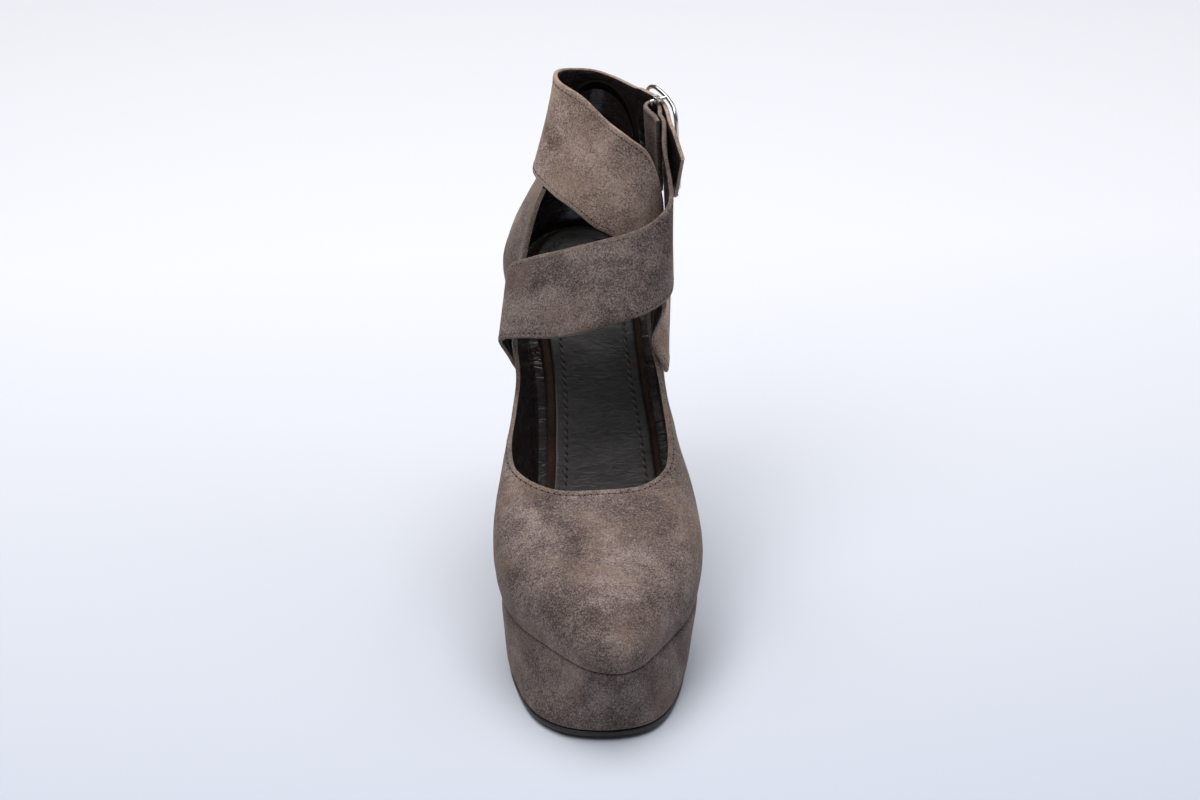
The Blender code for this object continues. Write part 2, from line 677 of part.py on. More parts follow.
def main():
    """Builds the shoe, a piece at a time."""
    for item in list(bpy.data.objects):
        bpy.data.objects.remove(item)
    suede = material("suede", (0.200, 0.153, 0.130), 0.92)
    strap_suede = material("strap_suede", (0.215, 0.165, 0.142), 0.92)
    sole_leather = material("sole_leather", (0.035, 0.032, 0.030), 0.45)
    board_suede = material("board_suede", (0.120, 0.085, 0.066), 0.9)
    sock_leather = material("sock_leather", (0.045, 0.042, 0.042), 0.4)
    tip_rubber = material("tip_rubber", (0.020, 0.020, 0.020), 0.6)
    metal = material("polished_metal", (0.55, 0.54, 0.52), 0.2, 1.0)
    build_outsole(sole_leather)
    build_platform(suede)
    build_heel(suede)
    build_heel_tip(tip_rubber)
    build_upper(suede)
    board_foot = 2.0 * GAP + UPPER_WALL
    board_top = board_foot + BOARD_THICKNESS
    inner_layer("insole_board", UPPER_WALL + BOARD_INSET, board_foot, board_top, board_suede)
    sock_inset = UPPER_WALL + BOARD_INSET + SOCK_INSET
    inner_layer("sock_lining", sock_inset, board_top + GAP, board_top + GAP + SOCK_THICKNESS, sock_leather)
    buckle = BuckleFrame()
    build_strap("strap_lower", lower_strap_rows(buckle), 1.0, strap_suede)
    build_strap("strap_upper", upper_strap_rows(buckle), -1.0, strap_suede)
    build_buckle(buckle, metal)
    stand_on_origin()


main()
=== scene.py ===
"""Dresses the platform pump: suede, lining, seams, sock, buckle, floor, light and camera.

Metres, +Z up, toe towards -Y, outer side of the left foot towards +X, as in the CAD.
"""

import logging
import math
from dataclasses import dataclass, field
from enum import Enum
from typing import Callable, Iterable, Sequence

import bmesh
import bpy
import numpy as np
from mathutils import Matrix, Vector, noise


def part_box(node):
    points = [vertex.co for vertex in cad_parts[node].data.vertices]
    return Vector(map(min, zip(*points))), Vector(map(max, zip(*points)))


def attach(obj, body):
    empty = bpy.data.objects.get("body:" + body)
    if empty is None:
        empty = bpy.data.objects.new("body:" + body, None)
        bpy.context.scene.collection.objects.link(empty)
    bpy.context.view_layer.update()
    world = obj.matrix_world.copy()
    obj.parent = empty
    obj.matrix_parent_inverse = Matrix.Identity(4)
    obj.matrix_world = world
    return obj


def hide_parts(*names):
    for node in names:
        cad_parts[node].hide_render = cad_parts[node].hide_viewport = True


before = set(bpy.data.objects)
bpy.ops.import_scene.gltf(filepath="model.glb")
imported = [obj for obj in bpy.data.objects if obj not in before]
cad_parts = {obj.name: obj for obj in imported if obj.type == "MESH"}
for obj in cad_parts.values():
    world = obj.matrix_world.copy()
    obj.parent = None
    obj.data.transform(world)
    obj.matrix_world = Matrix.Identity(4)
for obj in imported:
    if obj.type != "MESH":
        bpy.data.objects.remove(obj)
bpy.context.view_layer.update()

LOG = logging.getLogger("platform_pump")
MM = 0.001
# Millimetres from an edge at which the suede shows no rubbing.
FAR_FROM_EDGE = 9.0

Rows = dict[str, np.ndarray]
Edge = tuple[Vector, Vector]
Placer = Callable[[float, float], Vector]
Route = Sequence[tuple[Vector, Vector]]


# Curves through tables


def table(names: str, *rows: Sequence[float]) -> Rows:
    """Rows of numbers as arrays under the named columns.

    Args:
        names: column names, with spaces between them.
        rows: one row of numbers for each place along the shoe.

    Returns:
        A column for each name.
    """
    return dict(zip(names.split(), np.array(rows, float).T))


def shares_read(xs: np.ndarray, ys: np.ndarray, at: float) -> float:
    """Reads a curve through the rows that never overshoots them.

    Args:
        xs: rising places of the rows.
        ys: values there.
        at: place to read.

    Returns:
        The value there.
    """
    steps = np.diff(xs)
    rates = np.diff(ys) / steps
    slopes = np.zeros(len(xs))
    slopes[0], slopes[-1] = rates[0], rates[-1]
    for row in range(1, len(xs) - 1):
        before, after = rates[row - 1], rates[row]
        if before * after > 0.0:
            slopes[row] = 2.0 * before * after / (before + after)
    row = int(np.clip(np.searchsorted(xs, at, side="right") - 1, 0, len(steps) - 1))
    s = (at - xs[row]) / steps[row]
    start = ys[row] * (1 + 2 * s) * (1 - s) ** 2 + slopes[row] * steps[row] * s * (1 - s) ** 2
    end = ys[row + 1] * s * s * (3 - 2 * s) + slopes[row + 1] * steps[row] * s * s * (s - 1)
    return float(start + end)


def spline_read(values: Sequence, at: float):
    """Reads a smooth curve through evenly numbered rows.

    Args:
        values: numbers or points, one for each row.
        at: row number to read, between rows too.

    Returns:
        A number or a point, as the rows are.
    """
    last = len(values) - 1
    row = min(max(int(math.floor(at)), 0), last - 1)
    s = at - row
    p1, p2 = values[row], values[row + 1]
    before = values[row - 1] if row > 0 else p1 * 2 - p2
    after = values[row + 2] if row + 2 <= last else p2 * 2 - p1
    rise, fall = (p2 - before) / 2.0, (after - p1) / 2.0
    return (p1 * ((1 + 2 * s) * (1 - s) ** 2) + rise * (s * (1 - s) ** 2)
            + p2 * (s * s * (3 - 2 * s)) + fall * (s * s * (s - 1)))


def bell(distance: float, width: float) -> float:
    """A soft bump: 1 in its middle, almost 0 two widths away."""
    return math.exp(-(distance / width) ** 2)


# The last


@dataclass
class Last:
    """The last's own form, which the upper, straps, platform, board and heel follow.

    Places are shares: across of half the ball's width, along of the last's length, lift
    of the counter's height. Sections run from 0 at the toe to 15 at the heel's back, with
    the outer side positive.
    """

    length: float = 0.212
    ball_width: float = 0.088
    heel_rise: float = 0.098
    platform_height: float = 0.0285
    sole_thickness: float = 0.003
    counter_height: float = 0.085
    gap: float = 0.0003
    footbed_rows: Rows = field(default_factory=lambda: table(
        "along rise",
        (-0.05, 0.030), (0.00, 0.020), (0.09, 0.007), (0.19, 0.0), (0.38, 0.0),
        (0.43, 0.028), (0.495, 0.112), (0.566, 0.260), (0.660, 0.485), (0.755, 0.704),
        (0.849, 0.883), (0.920, 0.974), (1.000, 1.036), (1.060, 1.080)))
    platform_rows: Rows = field(default_factory=lambda: table(
        "along depth",
        (-0.05, 1.0), (0.39, 1.0), (0.46, 0.86), (0.53, 0.52), (0.59, 0.20),
        (0.64, 0.055), (0.72, 0.0), (1.06, 0.0)))
    wall_rows: Rows = field(default_factory=lambda: table(
        "feather_along feather_mid feather_half top_along top_mid top_half top_lift "
        "low_swell rise reach drop top_swell",
        (0.014, 0.000, 0.000, 0.365, -0.045, 0.000, 0.508, 0.07, 0.45, 0.46, 0.32, 0.00),
        (0.031, -0.011, 0.215, 0.366, -0.045, 0.215, 0.508, 0.08, 0.45, 0.46, 0.32, 0.02),
        (0.068, -0.023, 0.375, 0.372, -0.023, 0.400, 0.510, 0.10, 0.45, 0.45, 0.32, 0.06),
        (0.133, -0.027, 0.590, 0.388, -0.032, 0.570, 0.525, 0.12, 0.44, 0.42, 0.30, 0.12),
        (0.212, -0.032, 0.818, 0.410, -0.051, 0.697, 0.541, 0.14, 0.43, 0.38, 0.29, 0.15),
        (0.311, -0.030, 0.932, 0.439, -0.062, 0.767, 0.547, 0.15, 0.43, 0.35, 0.30, 0.14),
        (0.415, 0.034, 0.862, 0.481, -0.057, 0.785, 0.541, 0.16, 0.42, 0.33, 0.32, 0.12),
        (0.509, 0.110, 0.718, 0.528, -0.036, 0.748, 0.541, 0.12, 0.39, 0.33, 0.33, 0.07),
        (0.594, 0.120, 0.665, 0.575, -0.025, 0.705, 0.541, 0.07, 0.35, 0.33, 0.33, 0.03),
        (0.675, 0.100, 0.625, 0.632, -0.060, 0.675, 0.553, 0.09, 0.34, 0.33, 0.34, 0.05),
        (0.750, 0.062, 0.631, 0.698, -0.015, 0.632, 0.640, 0.18, 0.41, 0.33, 0.37, 0.12),
        (0.825, 0.008, 0.678, 0.742, 0.055, 0.538, 0.820, 0.25, 0.39, 0.33, 0.39, 0.16),
        (0.892, 0.000, 0.625, 0.792, 0.165, 0.415, 0.920, 0.21, 0.35, 0.33, 0.37, 0.10),
        (0.943, 0.011, 0.477, 0.860, 0.191, 0.334, 0.945, 0.14, 0.37, 0.33, 0.37, 0.03),
        (0.974, 0.011, 0.272, 0.912, 0.182, 0.200, 0.945, 0.12, 0.37, 0.33, 0.37, -0.02),
        (0.986, 0.011, 0.000, 0.930, 0.182, 0.000, 0.950, 0.12, 0.37, 0.33, 0.37, -0.03)))
    base_rows: Rows = field(default_factory=lambda: table(
        "along mid half",
        (0.015, -0.045, 0.000), (0.022, -0.055, 0.255), (0.045, -0.074, 0.472),
        (0.098, -0.091, 0.664), (0.189, -0.076, 0.803), (0.292, -0.055, 0.866),
        (0.406, 0.010, 0.800), (0.500, 0.075, 0.660), (0.585, 0.090, 0.580),
        (0.665, 0.090, 0.550), (0.740, 0.055, 0.550), (0.815, 0.020, 0.540)))
    heel_back: float = 0.956
    known: dict = field(default_factory=dict)

    def __post_init__(self) -> None:
        """Sets the last's zero from the CAD's heel tip, which it stands over."""
        low, high = (Vector(corner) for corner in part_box("heel_tip"))
        self.zero = Vector(((low.x + high.x) / 2.0, high.y - self.heel_back * self.length, 0.0))
        self.to_footbed = self.sole_thickness + self.platform_height + self.gap
        self.last_section = len(self.wall_rows["rise"]) - 1

    def footbed(self, along: float) -> float:
        """Height of the footbed's plane at a share of the length."""
        rise = shares_read(self.footbed_rows["along"], self.footbed_rows["rise"], along)
        return self.to_footbed + self.heel_rise * rise

    def depth(self, along: float) -> float:
        """How deep the platform reaches under the footbed."""
        rows = self.platform_rows
        return self.platform_height * shares_read(rows["along"], rows["depth"], along)

    def underside(self, along: float) -> float:
        """Height of the platform's underside."""
        return self.footbed(along) - self.depth(along)

    def slant(self, surface: Callable[[float], float], along: float) -> float:
        """How much taller a layer measures on a surface's slope than square to it."""
        rise = (surface(along + 0.01) - surface(along - 0.01)) / (0.02 * self.length)
        return math.hypot(1.0, rise)

    def along(self, point: Vector) -> float:
        """Share of the length at a point."""
        return (point.y - self.zero.y) / self.length

    def place(self, across: float, along: float, lift: float) -> Vector:
        """A point from its shares across, along and over the footbed."""
        height = self.footbed(along) + lift * self.counter_height
        return self.zero + Vector((across * self.ball_width / 2.0, along * self.length, height))

    def value(self, rows: Rows, column: str, section: float) -> float:
        """Reads a column at a signed section; half widths change sign with the side.

        Args:
            rows: the table.
            column: name of the column.
            section: signed section, between the rows too.

        Returns:
            The value there, kept for the next time.
        """
        key = (id(rows), column, round(section, 5))
        if key not in self.known:
            values = rows[column]
            odd = column.endswith("half")
            sign = -1.0 if odd else 1.0
            mirrored = np.concatenate(([sign * values[1]], values, [sign * values[-2]]))
            value = spline_read(mirrored, abs(section) + 1.0)
            self.known[key] = value * math.copysign(1.0, section) if odd else value
        return self.known[key]

    def wrapped(self, section: float) -> float:
        """A section number brought back between the two ways round the shoe."""
        return (section + self.last_section) % (2.0 * self.last_section) - self.last_section

    def line(self, edge: str, section: float) -> Vector:
        """Plan point of one of the upper's lines.

        Args:
            edge: feather or top.
            section: signed section.

        Returns:
            The point, at height zero.
        """
        rows, half_ball = self.wall_rows, self.ball_width / 2.0
        middle, half = (self.value(rows, edge + name, section) for name in ("_mid", "_half"))
        x = (middle + half) * half_ball
        return self.zero + Vector((x, self.value(rows, edge + "_along", section) * self.length, 0.0))

    def feather_normal(self, section: float) -> Vector:
        """Outward direction of the feather line in plan.

        Args:
            section: signed section.

        Returns:
            The direction.
        """
        behind = self.line("feather", self.wrapped(section - 0.05))
        run = self.line("feather", self.wrapped(section + 0.05)) - behind
        return Vector((run.y, -run.x, 0.0)).normalized()

    def on_footbed(self, point: Vector, lift: float) -> Vector:
        """The plan point at a distance square to the footbed."""
        along = self.along(point)
        return Vector((point.x, point.y, self.footbed(along) + lift * self.slant(self.footbed, along)))

    def handles(self, section: float) -> tuple[Vector, Vector, Vector, Vector]:
        """The curve that the wall follows at a section.

        Args:
            section: signed section.

        Returns:
            The wall's foot, its two curve handles and its top.
        """
        key = ("handles", round(section, 5))
        if key in self.known:
            return self.known[key]
        rows, half_ball = self.wall_rows, self.ball_width / 2.0
        low, high = self.line("feather", section), self.line("top", section)
        normal = self.feather_normal(section)
        drawn_in = (low - high) * self.value(rows, "reach", section)
        wall = self.value(rows, "top_lift", section) * self.counter_height
        low = self.on_footbed(low, self.gap)
        high.z = self.footbed(self.along(high)) + wall
        low_handle = low + normal * self.value(rows, "low_swell", section) * half_ball
        low_handle.z += self.value(rows, "rise", section) * wall
        high_handle = high + drawn_in + normal * self.value(rows, "top_swell", section) * half_ball
        high_handle.z -= self.value(rows, "drop", section) * wall
        self.known[key] = (low, low_handle, high_handle, high)
        return self.known[key]

    def wall_point(self, section: float, height: float) -> Vector:
        """Outer face of the upper.

        Args:
            section: signed section.
            height: share of the wall's height.

        Returns:
            The point.
        """
        low, low_handle, high_handle, high = self.handles(section)
        s, r = height, 1.0 - height
        return low * r ** 3 + low_handle * (3 * r * r * s) + high_handle * (3 * r * s * s) + high * s ** 3

    def wall_normal(self, section: float, height: float) -> Vector:
        """Outward direction of the upper's face.

        Args:
            section: signed section.
            height: share of the wall's height.

        Returns:
            The direction.
        """
        step = 0.02
        below = self.wall_point(section, max(height - step, 0.0))
        up = self.wall_point(section, min(height + step, 1.0)) - below
        ahead = self.wall_point(self.wrapped(section + step), height)
        behind = self.wall_point(self.wrapped(section - step), height)
        return (ahead - behind).cross(up).normalized()

    def feather_inside(self, section: float, across: float, inset: float) -> Vector:
        """Plan point between the two feather lines.

        Args:
            section: section, the same on both sides.
            across: share from the inner to the outer side.
            inset: how far it is set in from both.

        Returns:
            The point, at height zero.
        """
        right = self.line("feather", section) - self.feather_normal(section) * inset
        left = self.line("feather", -section) - self.feather_normal(-section) * inset
        if right.x < left.x:
            left = right = (left + right) / 2.0
        return left.lerp(right, across)

    def base_inside(self, section: float, across: float, inset: float) -> Vector:
        """Plan point between the two sides of the platform's lower outline.

        Args:
            section: section, the same on both sides.
            across: share from the inner to the outer side.
            inset: how far it is set in all round.

        Returns:
            The point, at height zero.
        """
        half_ball = self.ball_width / 2.0
        mid = self.value(self.base_rows, "mid", section) * half_ball
        half = self.value(self.base_rows, "half", section) * half_ball
        along = self.value(self.base_rows, "along", section) * self.length
        middle = self.value(self.base_rows, "along", 5.0) * self.length
        shrunk = 1.0 - inset / half_ball
        x = mid + (2.0 * across - 1.0) * half * shrunk
        return self.zero + Vector((x, middle + (along - middle) * shrunk, 0.0))


# Making meshes


def grid(along_steps: int, across_steps: int) -> tuple[bmesh.types.BMesh, object, object]:
    """A flat grid with the shares along and across of each of its vertices.

    Args:
        along_steps: cells along.
        across_steps: cells across.

    Returns:
        The bmesh and its two layers, along and across.
    """
    bm = bmesh.new()
    bmesh.ops.create_grid(bm, x_segments=along_steps, y_segments=across_steps, size=0.5)
    along = bm.verts.layers.float.new("along")
    across = bm.verts.layers.float.new("across")
    for vert in bm.verts:
        vert[along] = vert.co.x + 0.5
        vert[across] = vert.co.y + 0.5
    return bm, along, across


def piece_of(name: str, bm: bmesh.types.BMesh, finishes: Sequence[bpy.types.Material],
             slot: str, stands_for: Iterable[str] = (), sharp_degrees: float = 60.0) -> bpy.types.Object:
    """Turns a bmesh into a piece that rides with the shoe.

    Args:
        name: plain name of the piece.
        bm: the finished bmesh, which is freed.
        finishes: materials in the order of the faces' material numbers.
        slot: the record's material slot; not used.
        stands_for: CAD nodes that the piece replaces.
        sharp_degrees: edges sharper than this stay sharp.

    Returns:
        The piece's object.
    """
    mesh = bpy.data.meshes.new(name)
    bm.to_mesh(mesh)
    bm.free()
    mesh.shade_smooth()
    mesh.set_sharp_from_angle(angle=math.radians(sharp_degrees))
    for finish in finishes:
        mesh.materials.append(finish)
    piece = bpy.data.objects.new(name, mesh)
    bpy.context.scene.collection.objects.link(piece)
    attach(piece, "root")
    if stands_for:
        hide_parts(*stands_for)
    LOG.info("%s: %d faces", name, len(mesh.polygons))
    return piece


def stacked(levels: Sequence[Placer], along_steps: int, across_steps: int,
            inside_from: int | None = None) -> bmesh.types.BMesh:
    """A closed solid: a grid set out by the first level, extruded through the others.

    Args:
        levels: functions from the shares along and across to a point.
        along_steps: cells along.
        across_steps: cells across.
        inside_from: level from which the faces get material 1, or None.

    Returns:
        The bmesh, welded and facing outwards.
    """
    bm, along, across = grid(along_steps, across_steps)
    edge = bm.verts.layers.float.new("from_edge")
    for vert in bm.verts:
        vert.co = levels[0](vert[along], vert[across])
        nearest = min(vert[along] * 8.0, (1.0 - vert[along]) * 8.0, vert[across], 1.0 - vert[across])
        vert[edge] = nearest
    faces = list(bm.faces)
    for number, level in enumerate(levels[1:], start=1):
        edges = list({side for face in faces for side in face.edges})
        older = set(bm.faces)
        moved = bmesh.ops.extrude_face_region(bm, geom=faces + edges)["geom"]
        faces = [item for item in moved if isinstance(item, bmesh.types.BMFace)]
        for vert in {corner for face in faces for corner in face.verts}:
            vert.co = level(vert[along], vert[across])
        if inside_from is not None and number >= inside_from:
            for face in set(bm.faces) - older:
                face.material_index = 1
    bmesh.ops.remove_doubles(bm, verts=bm.verts, dist=1e-6)
    bmesh.ops.recalc_face_normals(bm, faces=bm.faces)
    return bm


def measured(bm: bmesh.types.BMesh, distance: Callable[[bmesh.types.BMVert], float]) -> None:
    """Gives each vertex its distance from the nearest rubbed edge, for the suede.

    Args:
        bm: the piece's bmesh.
        distance: function from a vertex to its distance in millimetres.
    """
    edge = bm.verts.layers.float.new("edge_mm")
    for vert in bm.verts:
        vert[edge] = distance(vert)


# Finishes


def linear(colour: str) -> tuple[float, float, float, float]:
    """A linear colour from its sRGB hex value."""
    values = [int(colour[place:place + 2], 16) / 255.0 for place in (1, 3, 5)]
    return (*(v / 12.92 if v <= 0.04045 else ((v + 0.055) / 1.055) ** 2.4 for v in values), 1.0)


def add(tree: bpy.types.NodeTree, kind: str, settings: dict | None = None, **links) -> bpy.types.Node:
    """Adds a node with its settings and links.

    Args:
        tree: the material's node tree.
        kind: the node's type without the word ShaderNode.
        settings: properties by name and inputs by name or number.
        links: outputs to link to the inputs of those names; an underscore stands for a
            space and a leading i for an input's number.

    Returns:
        The new node.
    """
    node = tree.nodes.new("ShaderNode" + kind)
    for key, value in (settings or {}).items():
        if isinstance(key, str) and hasattr(node, key) and key not in node.inputs:
            setattr(node, key, value)
        else:
            node.inputs[key].default_value = value
    for key, output in links.items():
        number = key[1:]
        numbered = key[0] == "i" and number.isdigit()
        tree.links.new(output, node.inputs[int(number) if numbered else key.replace("_", " ")])
    return node


def repeat(size_mm: float) -> float:
    """The scale at which a texture repeats over a size in millimetres."""
    return 1.0 / (size_mm * MM)


def ramp(tree: bpy.types.NodeTree, source: bpy.types.NodeSocket,
         stops: Sequence[tuple[float, str]]) -> bpy.types.NodeSocket:
    """A colour ramp over a number.

    Args:
        tree: the material's node tree.
        source: the number.
        stops: places and hex colours.

    Returns:
        The colour.
    """
    node = add(tree, "ValToRGB", Fac=source)
    elements = node.color_ramp.elements
    while len(elements) < len(stops):
        elements.new(0.5)
    for element, (place, colour) in zip(elements, stops):
        element.position = place
        element.color = linear(colour)
    return node.outputs["Color"]


def blank(name: str) -> tuple[bpy.types.Material, bpy.types.NodeTree, bpy.types.Node]:
    """A new material.

    Args:
        name: the real material's name, and how it was made.

    Returns:
        The material, its tree and its shader.
    """
    made = bpy.data.materials.new(name)
    made.use_nodes = True
    return made, made.node_tree, made.node_tree.nodes["Principled BSDF"]


@dataclass(frozen=True)
class Suede:
    """Kid suede, split and brushed: a matt nap that goes light and dark where it was stroked.

    The nap's fibres are about a tenth of a millimetre, too fine to show, so the grain is
    drawn at 0.7 mm.
    """

    name: str = "kid suede, brushed nap"
    dark: str = "#3d3331"
    middle: str = "#6b5e5b"
    light: str = "#998b84"
    warm: str = "#856f60"
    rubbed: str = "#94816f"
    worn: float = 0.25
    cloud_mm: float = 21.0
    stroke_mm: float = 5.0
    grain_mm: float = 0.7
    cloud_share: float = 0.52
    stroke_share: float = 0.26
    grain_share: float = 0.96

    def made(self) -> bpy.types.Material:
        """Builds the material.

        Returns:
            Clouds and strokes where the nap lies one way or the other, the grain over
            them, a warmer tint in places, and a rubbed tone along the edges.
        """
        material, tree, shader = blank(self.name)
        place = add(tree, "TexCoord").outputs["Object"]
        leaning = add(tree, "Mapping", {"Rotation": (0.5, 0.3, 0.6), "Scale": (1.0, 2.1, 1.3)},
                      Vector=place).outputs["Vector"]
        clouds = add(tree, "TexNoise", {"Scale": repeat(self.cloud_mm), "Detail": 4.0, "Roughness": 0.55,
                                        "Distortion": 0.6}, Vector=place)
        strokes = add(tree, "TexNoise", {"Scale": repeat(self.stroke_mm), "Detail": 4.0, "Roughness": 0.65,
                                         "Distortion": 0.8}, Vector=leaning)
        grain = add(tree, "TexNoise", {"Scale": repeat(self.grain_mm), "Detail": 3.0, "Roughness": 0.75},
                    Vector=place)
        warmth = add(tree, "TexNoise", {"Scale": repeat(self.cloud_mm * 1.7), "Detail": 2.0}, Vector=leaning)
        shares = ((clouds, self.cloud_share), (strokes, self.stroke_share), (grain, self.grain_share))
        tone = add(tree, "Value").outputs[0]
        tone.default_value = (1.0 - sum(share for _, share in shares)) / 2.0
        for texture, share in shares:
            tone = add(tree, "Math", {"operation": "MULTIPLY_ADD", 1: share},
                       i0=texture.outputs["Fac"], i2=tone).outputs[0]
        base = ramp(tree, tone, ((0.34, self.dark), (0.50, self.middle), (0.68, self.light)))
        warm_share = add(tree, "MapRange", {"From Min": 0.48, "From Max": 0.75, "To Max": 0.55},
                         Value=warmth.outputs["Fac"])
        tinted = add(tree, "Mix", {"data_type": "RGBA", 7: linear(self.warm)},
                     i0=warm_share.outputs["Result"], i6=base)
        edge = add(tree, "Attribute", {"attribute_name": "edge_mm"})
        near = add(tree, "MapRange", {"From Min": 0.3, "From Max": 1.6, "To Min": self.worn, "To Max": 0.0},
                   Value=edge.outputs["Fac"])
        worn = add(tree, "Math", {"operation": "MULTIPLY"}, i0=near.outputs["Result"],
                   i1=strokes.outputs["Fac"])
        final = add(tree, "Mix", {"data_type": "RGBA", 7: linear(self.rubbed)},
                    i0=worn.outputs[0], i6=tinted.outputs[2])
        tree.links.new(final.outputs[2], shader.inputs["Base Color"])
        rough = add(tree, "MapRange", {"To Min": 0.82, "To Max": 1.0}, Value=strokes.outputs["Fac"])
        tree.links.new(rough.outputs["Result"], shader.inputs["Roughness"])
        shader.inputs["Specular IOR Level"].default_value = 0.22
        shader.inputs["Sheen Weight"].default_value = 0.25
        shader.inputs["Sheen Roughness"].default_value = 0.45
        shader.inputs["Sheen Tint"].default_value = linear("#cfbba9")
        nap = add(tree, "Bump", {"Strength": 0.85, "Distance": 0.36 * MM}, Height=grain.outputs["Fac"])
        stroked = add(tree, "Bump", {"Strength": 0.30, "Distance": 0.4 * MM}, Height=strokes.outputs["Fac"],
                      Normal=nap.outputs["Normal"])
        tree.links.new(stroked.outputs["Normal"], shader.inputs["Normal"])
        return material


@dataclass(frozen=True)
class Leather:
    """Dyed and finished kid leather: smooth, with soft wrinkles and a gloss on them.

    Its pores are a fifth of a millimetre, too fine to show, so they are drawn at 0.9 mm.
    """

    name: str
    colour: str
    deep: str
    roughness: float
    wrinkle_mm: float
    wrinkle_height: float
    coat: float = 0.0
    pore_mm: float = 0.9

    def made(self) -> bpy.types.Material:
        """Builds the material.

        Returns:
            A gloss that breaks on the wrinkles, darker in the wrinkles' hollows.
        """
        material, tree, shader = blank(self.name)
        place = add(tree, "TexCoord").outputs["Object"]
        across = add(tree, "Mapping", {"Scale": (0.55, 1.5, 1.6)}, Vector=place)
        wrinkles = add(tree, "TexNoise", {"Scale": repeat(self.wrinkle_mm), "Detail": 3.0, "Roughness": 0.5,
                                          "Distortion": 1.2}, Vector=across.outputs["Vector"])
        pores = add(tree, "TexVoronoi", {"Scale": repeat(self.pore_mm), "feature": "DISTANCE_TO_EDGE"},
                    Vector=place)
        colour = ramp(tree, wrinkles.outputs["Fac"], ((0.35, self.deep), (0.65, self.colour)))
        tree.links.new(colour, shader.inputs["Base Color"])
        rough = add(tree, "MapRange", {"To Min": self.roughness * 0.8, "To Max": self.roughness * 1.3},
                    Value=wrinkles.outputs["Fac"])
        tree.links.new(rough.outputs["Result"], shader.inputs["Roughness"])
        shader.inputs["Coat Weight"].default_value = self.coat
        shader.inputs["Coat Roughness"].default_value = 0.25
        fine = add(tree, "Bump", {"Strength": 0.12, "Distance": 0.15 * MM}, Height=pores.outputs["Distance"])
        soft = add(tree, "Bump", {"Strength": 0.6, "Distance": self.wrinkle_height},
                   Height=wrinkles.outputs["Fac"], Normal=fine.outputs["Normal"])
        tree.links.new(soft.outputs["Normal"], shader.inputs["Normal"])
        return material


@dataclass(frozen=True)
class Plain:
    """A small part's finish: thread, rubber or polished metal with faint marks.

    The marks are finer than a pixel, so they are drawn coarser than they are.
    """

    name: str
    colour: str
    roughness: float
    metallic: float = 0.0
    mark_mm: float = 1.5
    mark_height: float = 0.02 * MM
    specular: float = 0.5

    def made(self) -> bpy.types.Material:
        """Builds the material.

        Returns:
            One colour, with a gloss and a face that vary a little from mark to mark.
        """
        material, tree, shader = blank(self.name)
        place = add(tree, "TexCoord").outputs["Object"]
        marks = add(tree, "TexNoise", {"Scale": repeat(self.mark_mm), "Detail": 3.0}, Vector=place)
        shader.inputs["Base Color"].default_value = linear(self.colour)
        shader.inputs["Metallic"].default_value = self.metallic
        shader.inputs["Specular IOR Level"].default_value = self.specular
        rough = add(tree, "MapRange", {"To Min": self.roughness * 0.8, "To Max": self.roughness * 1.25},
                    Value=marks.outputs["Fac"])
        tree.links.new(rough.outputs["Result"], shader.inputs["Roughness"])
        bump = add(tree, "Bump", {"Strength": 0.4, "Distance": self.mark_height},
                   Height=marks.outputs["Fac"])
        tree.links.new(bump.outputs["Normal"], shader.inputs["Normal"])
        return material


class Finish(Enum):
    """The shoe's finishes by the part that they cover."""

    # Brushed at random: soft light and dark clouds on vamp, quarters and heel.
    SUEDE = Suede()
    # A lit copy of the suede: paler and warmer, painted light on the upper strap.
    SUEDE_LIGHT = Suede("kid suede, painted lit", "#5b4c44", "#968278", "#c6b1a4", "#a58d7a")
    # A shaded copy of the suede: deeper and cooler, painted shade on the lower strap and on the platform's
    # steep faces.
    SUEDE_DARK = Suede("kid suede, painted shade", "#352c2a", "#655957", "#92857e", "#75625a")
    # Glazed lining: almost black, with bright wrinkles.
    LINING = Leather("kid lining, dyed and glazed", "#3a3233", "#251f20", 0.24, 6.0, 1.1 * MM, 0.40)
    # Ironed sock: dark grey, smoother and duller than the lining.
    SOCK = Leather("kid sock, dyed and ironed", "#343132", "#252324", 0.40, 3.2, 0.35 * MM, 0.15)
    # Brown suede round the board's edge: a dark warm line beside the sock.
    BOARD = Suede("brown kid suede, wrapped", "#241a17", "#362823", "#4a3931", "#46362d", worn=0.0)
    # Stained and waxed sole: black, with a low sheen.
    SOLE = Leather("sole leather, stained and waxed", "#241f1e", "#181514", 0.48, 2.5, 0.15 * MM, 0.08)
    # Thread of the suede's tone, a shade deeper, so that the seams stay quiet.
    THREAD = Plain("twisted polyester thread", "#5d504c", 0.7, mark_mm=0.4)
    # Thick dark thread: a grey rope on the sock.
    DARK_THREAD = Plain("twisted polyester thread, dark", "#4a4543", 0.55, mark_mm=0.4)
    # The dark of a pinhole or a punched hole: painted shade on a flat dot, for no hole is cut.
    HOLE = Plain("punched hole, painted shade", "#17120f", 0.9)
    # Turned top edge under the ankle band: lining turned over, painted near black and without gloss as the
    # shade under the band; the suede's top rows at the back take it too.
    BINDING = Plain("lining leather turned over the top line, painted shade", "#0f0d0c", 0.95, specular=0.0)
    # Hard rubber: black and even.
    RUBBER = Plain("moulded hard rubber", "#171616", 0.55, mark_mm=0.8)
    # Plated metal: a warm white mirror with faint waves.
    METAL = Plain("die-cast zinc, nickel plated and polished", "#cfccc6", 0.13, 1.0, mark_mm=2.0,
                  mark_height=0.01 * MM)

    def dressed(self) -> bpy.types.Material:
        """The finish's material, built once."""
        made = bpy.data.materials.get(self.value.name)
        return made if made else self.value.made()


# Stitches


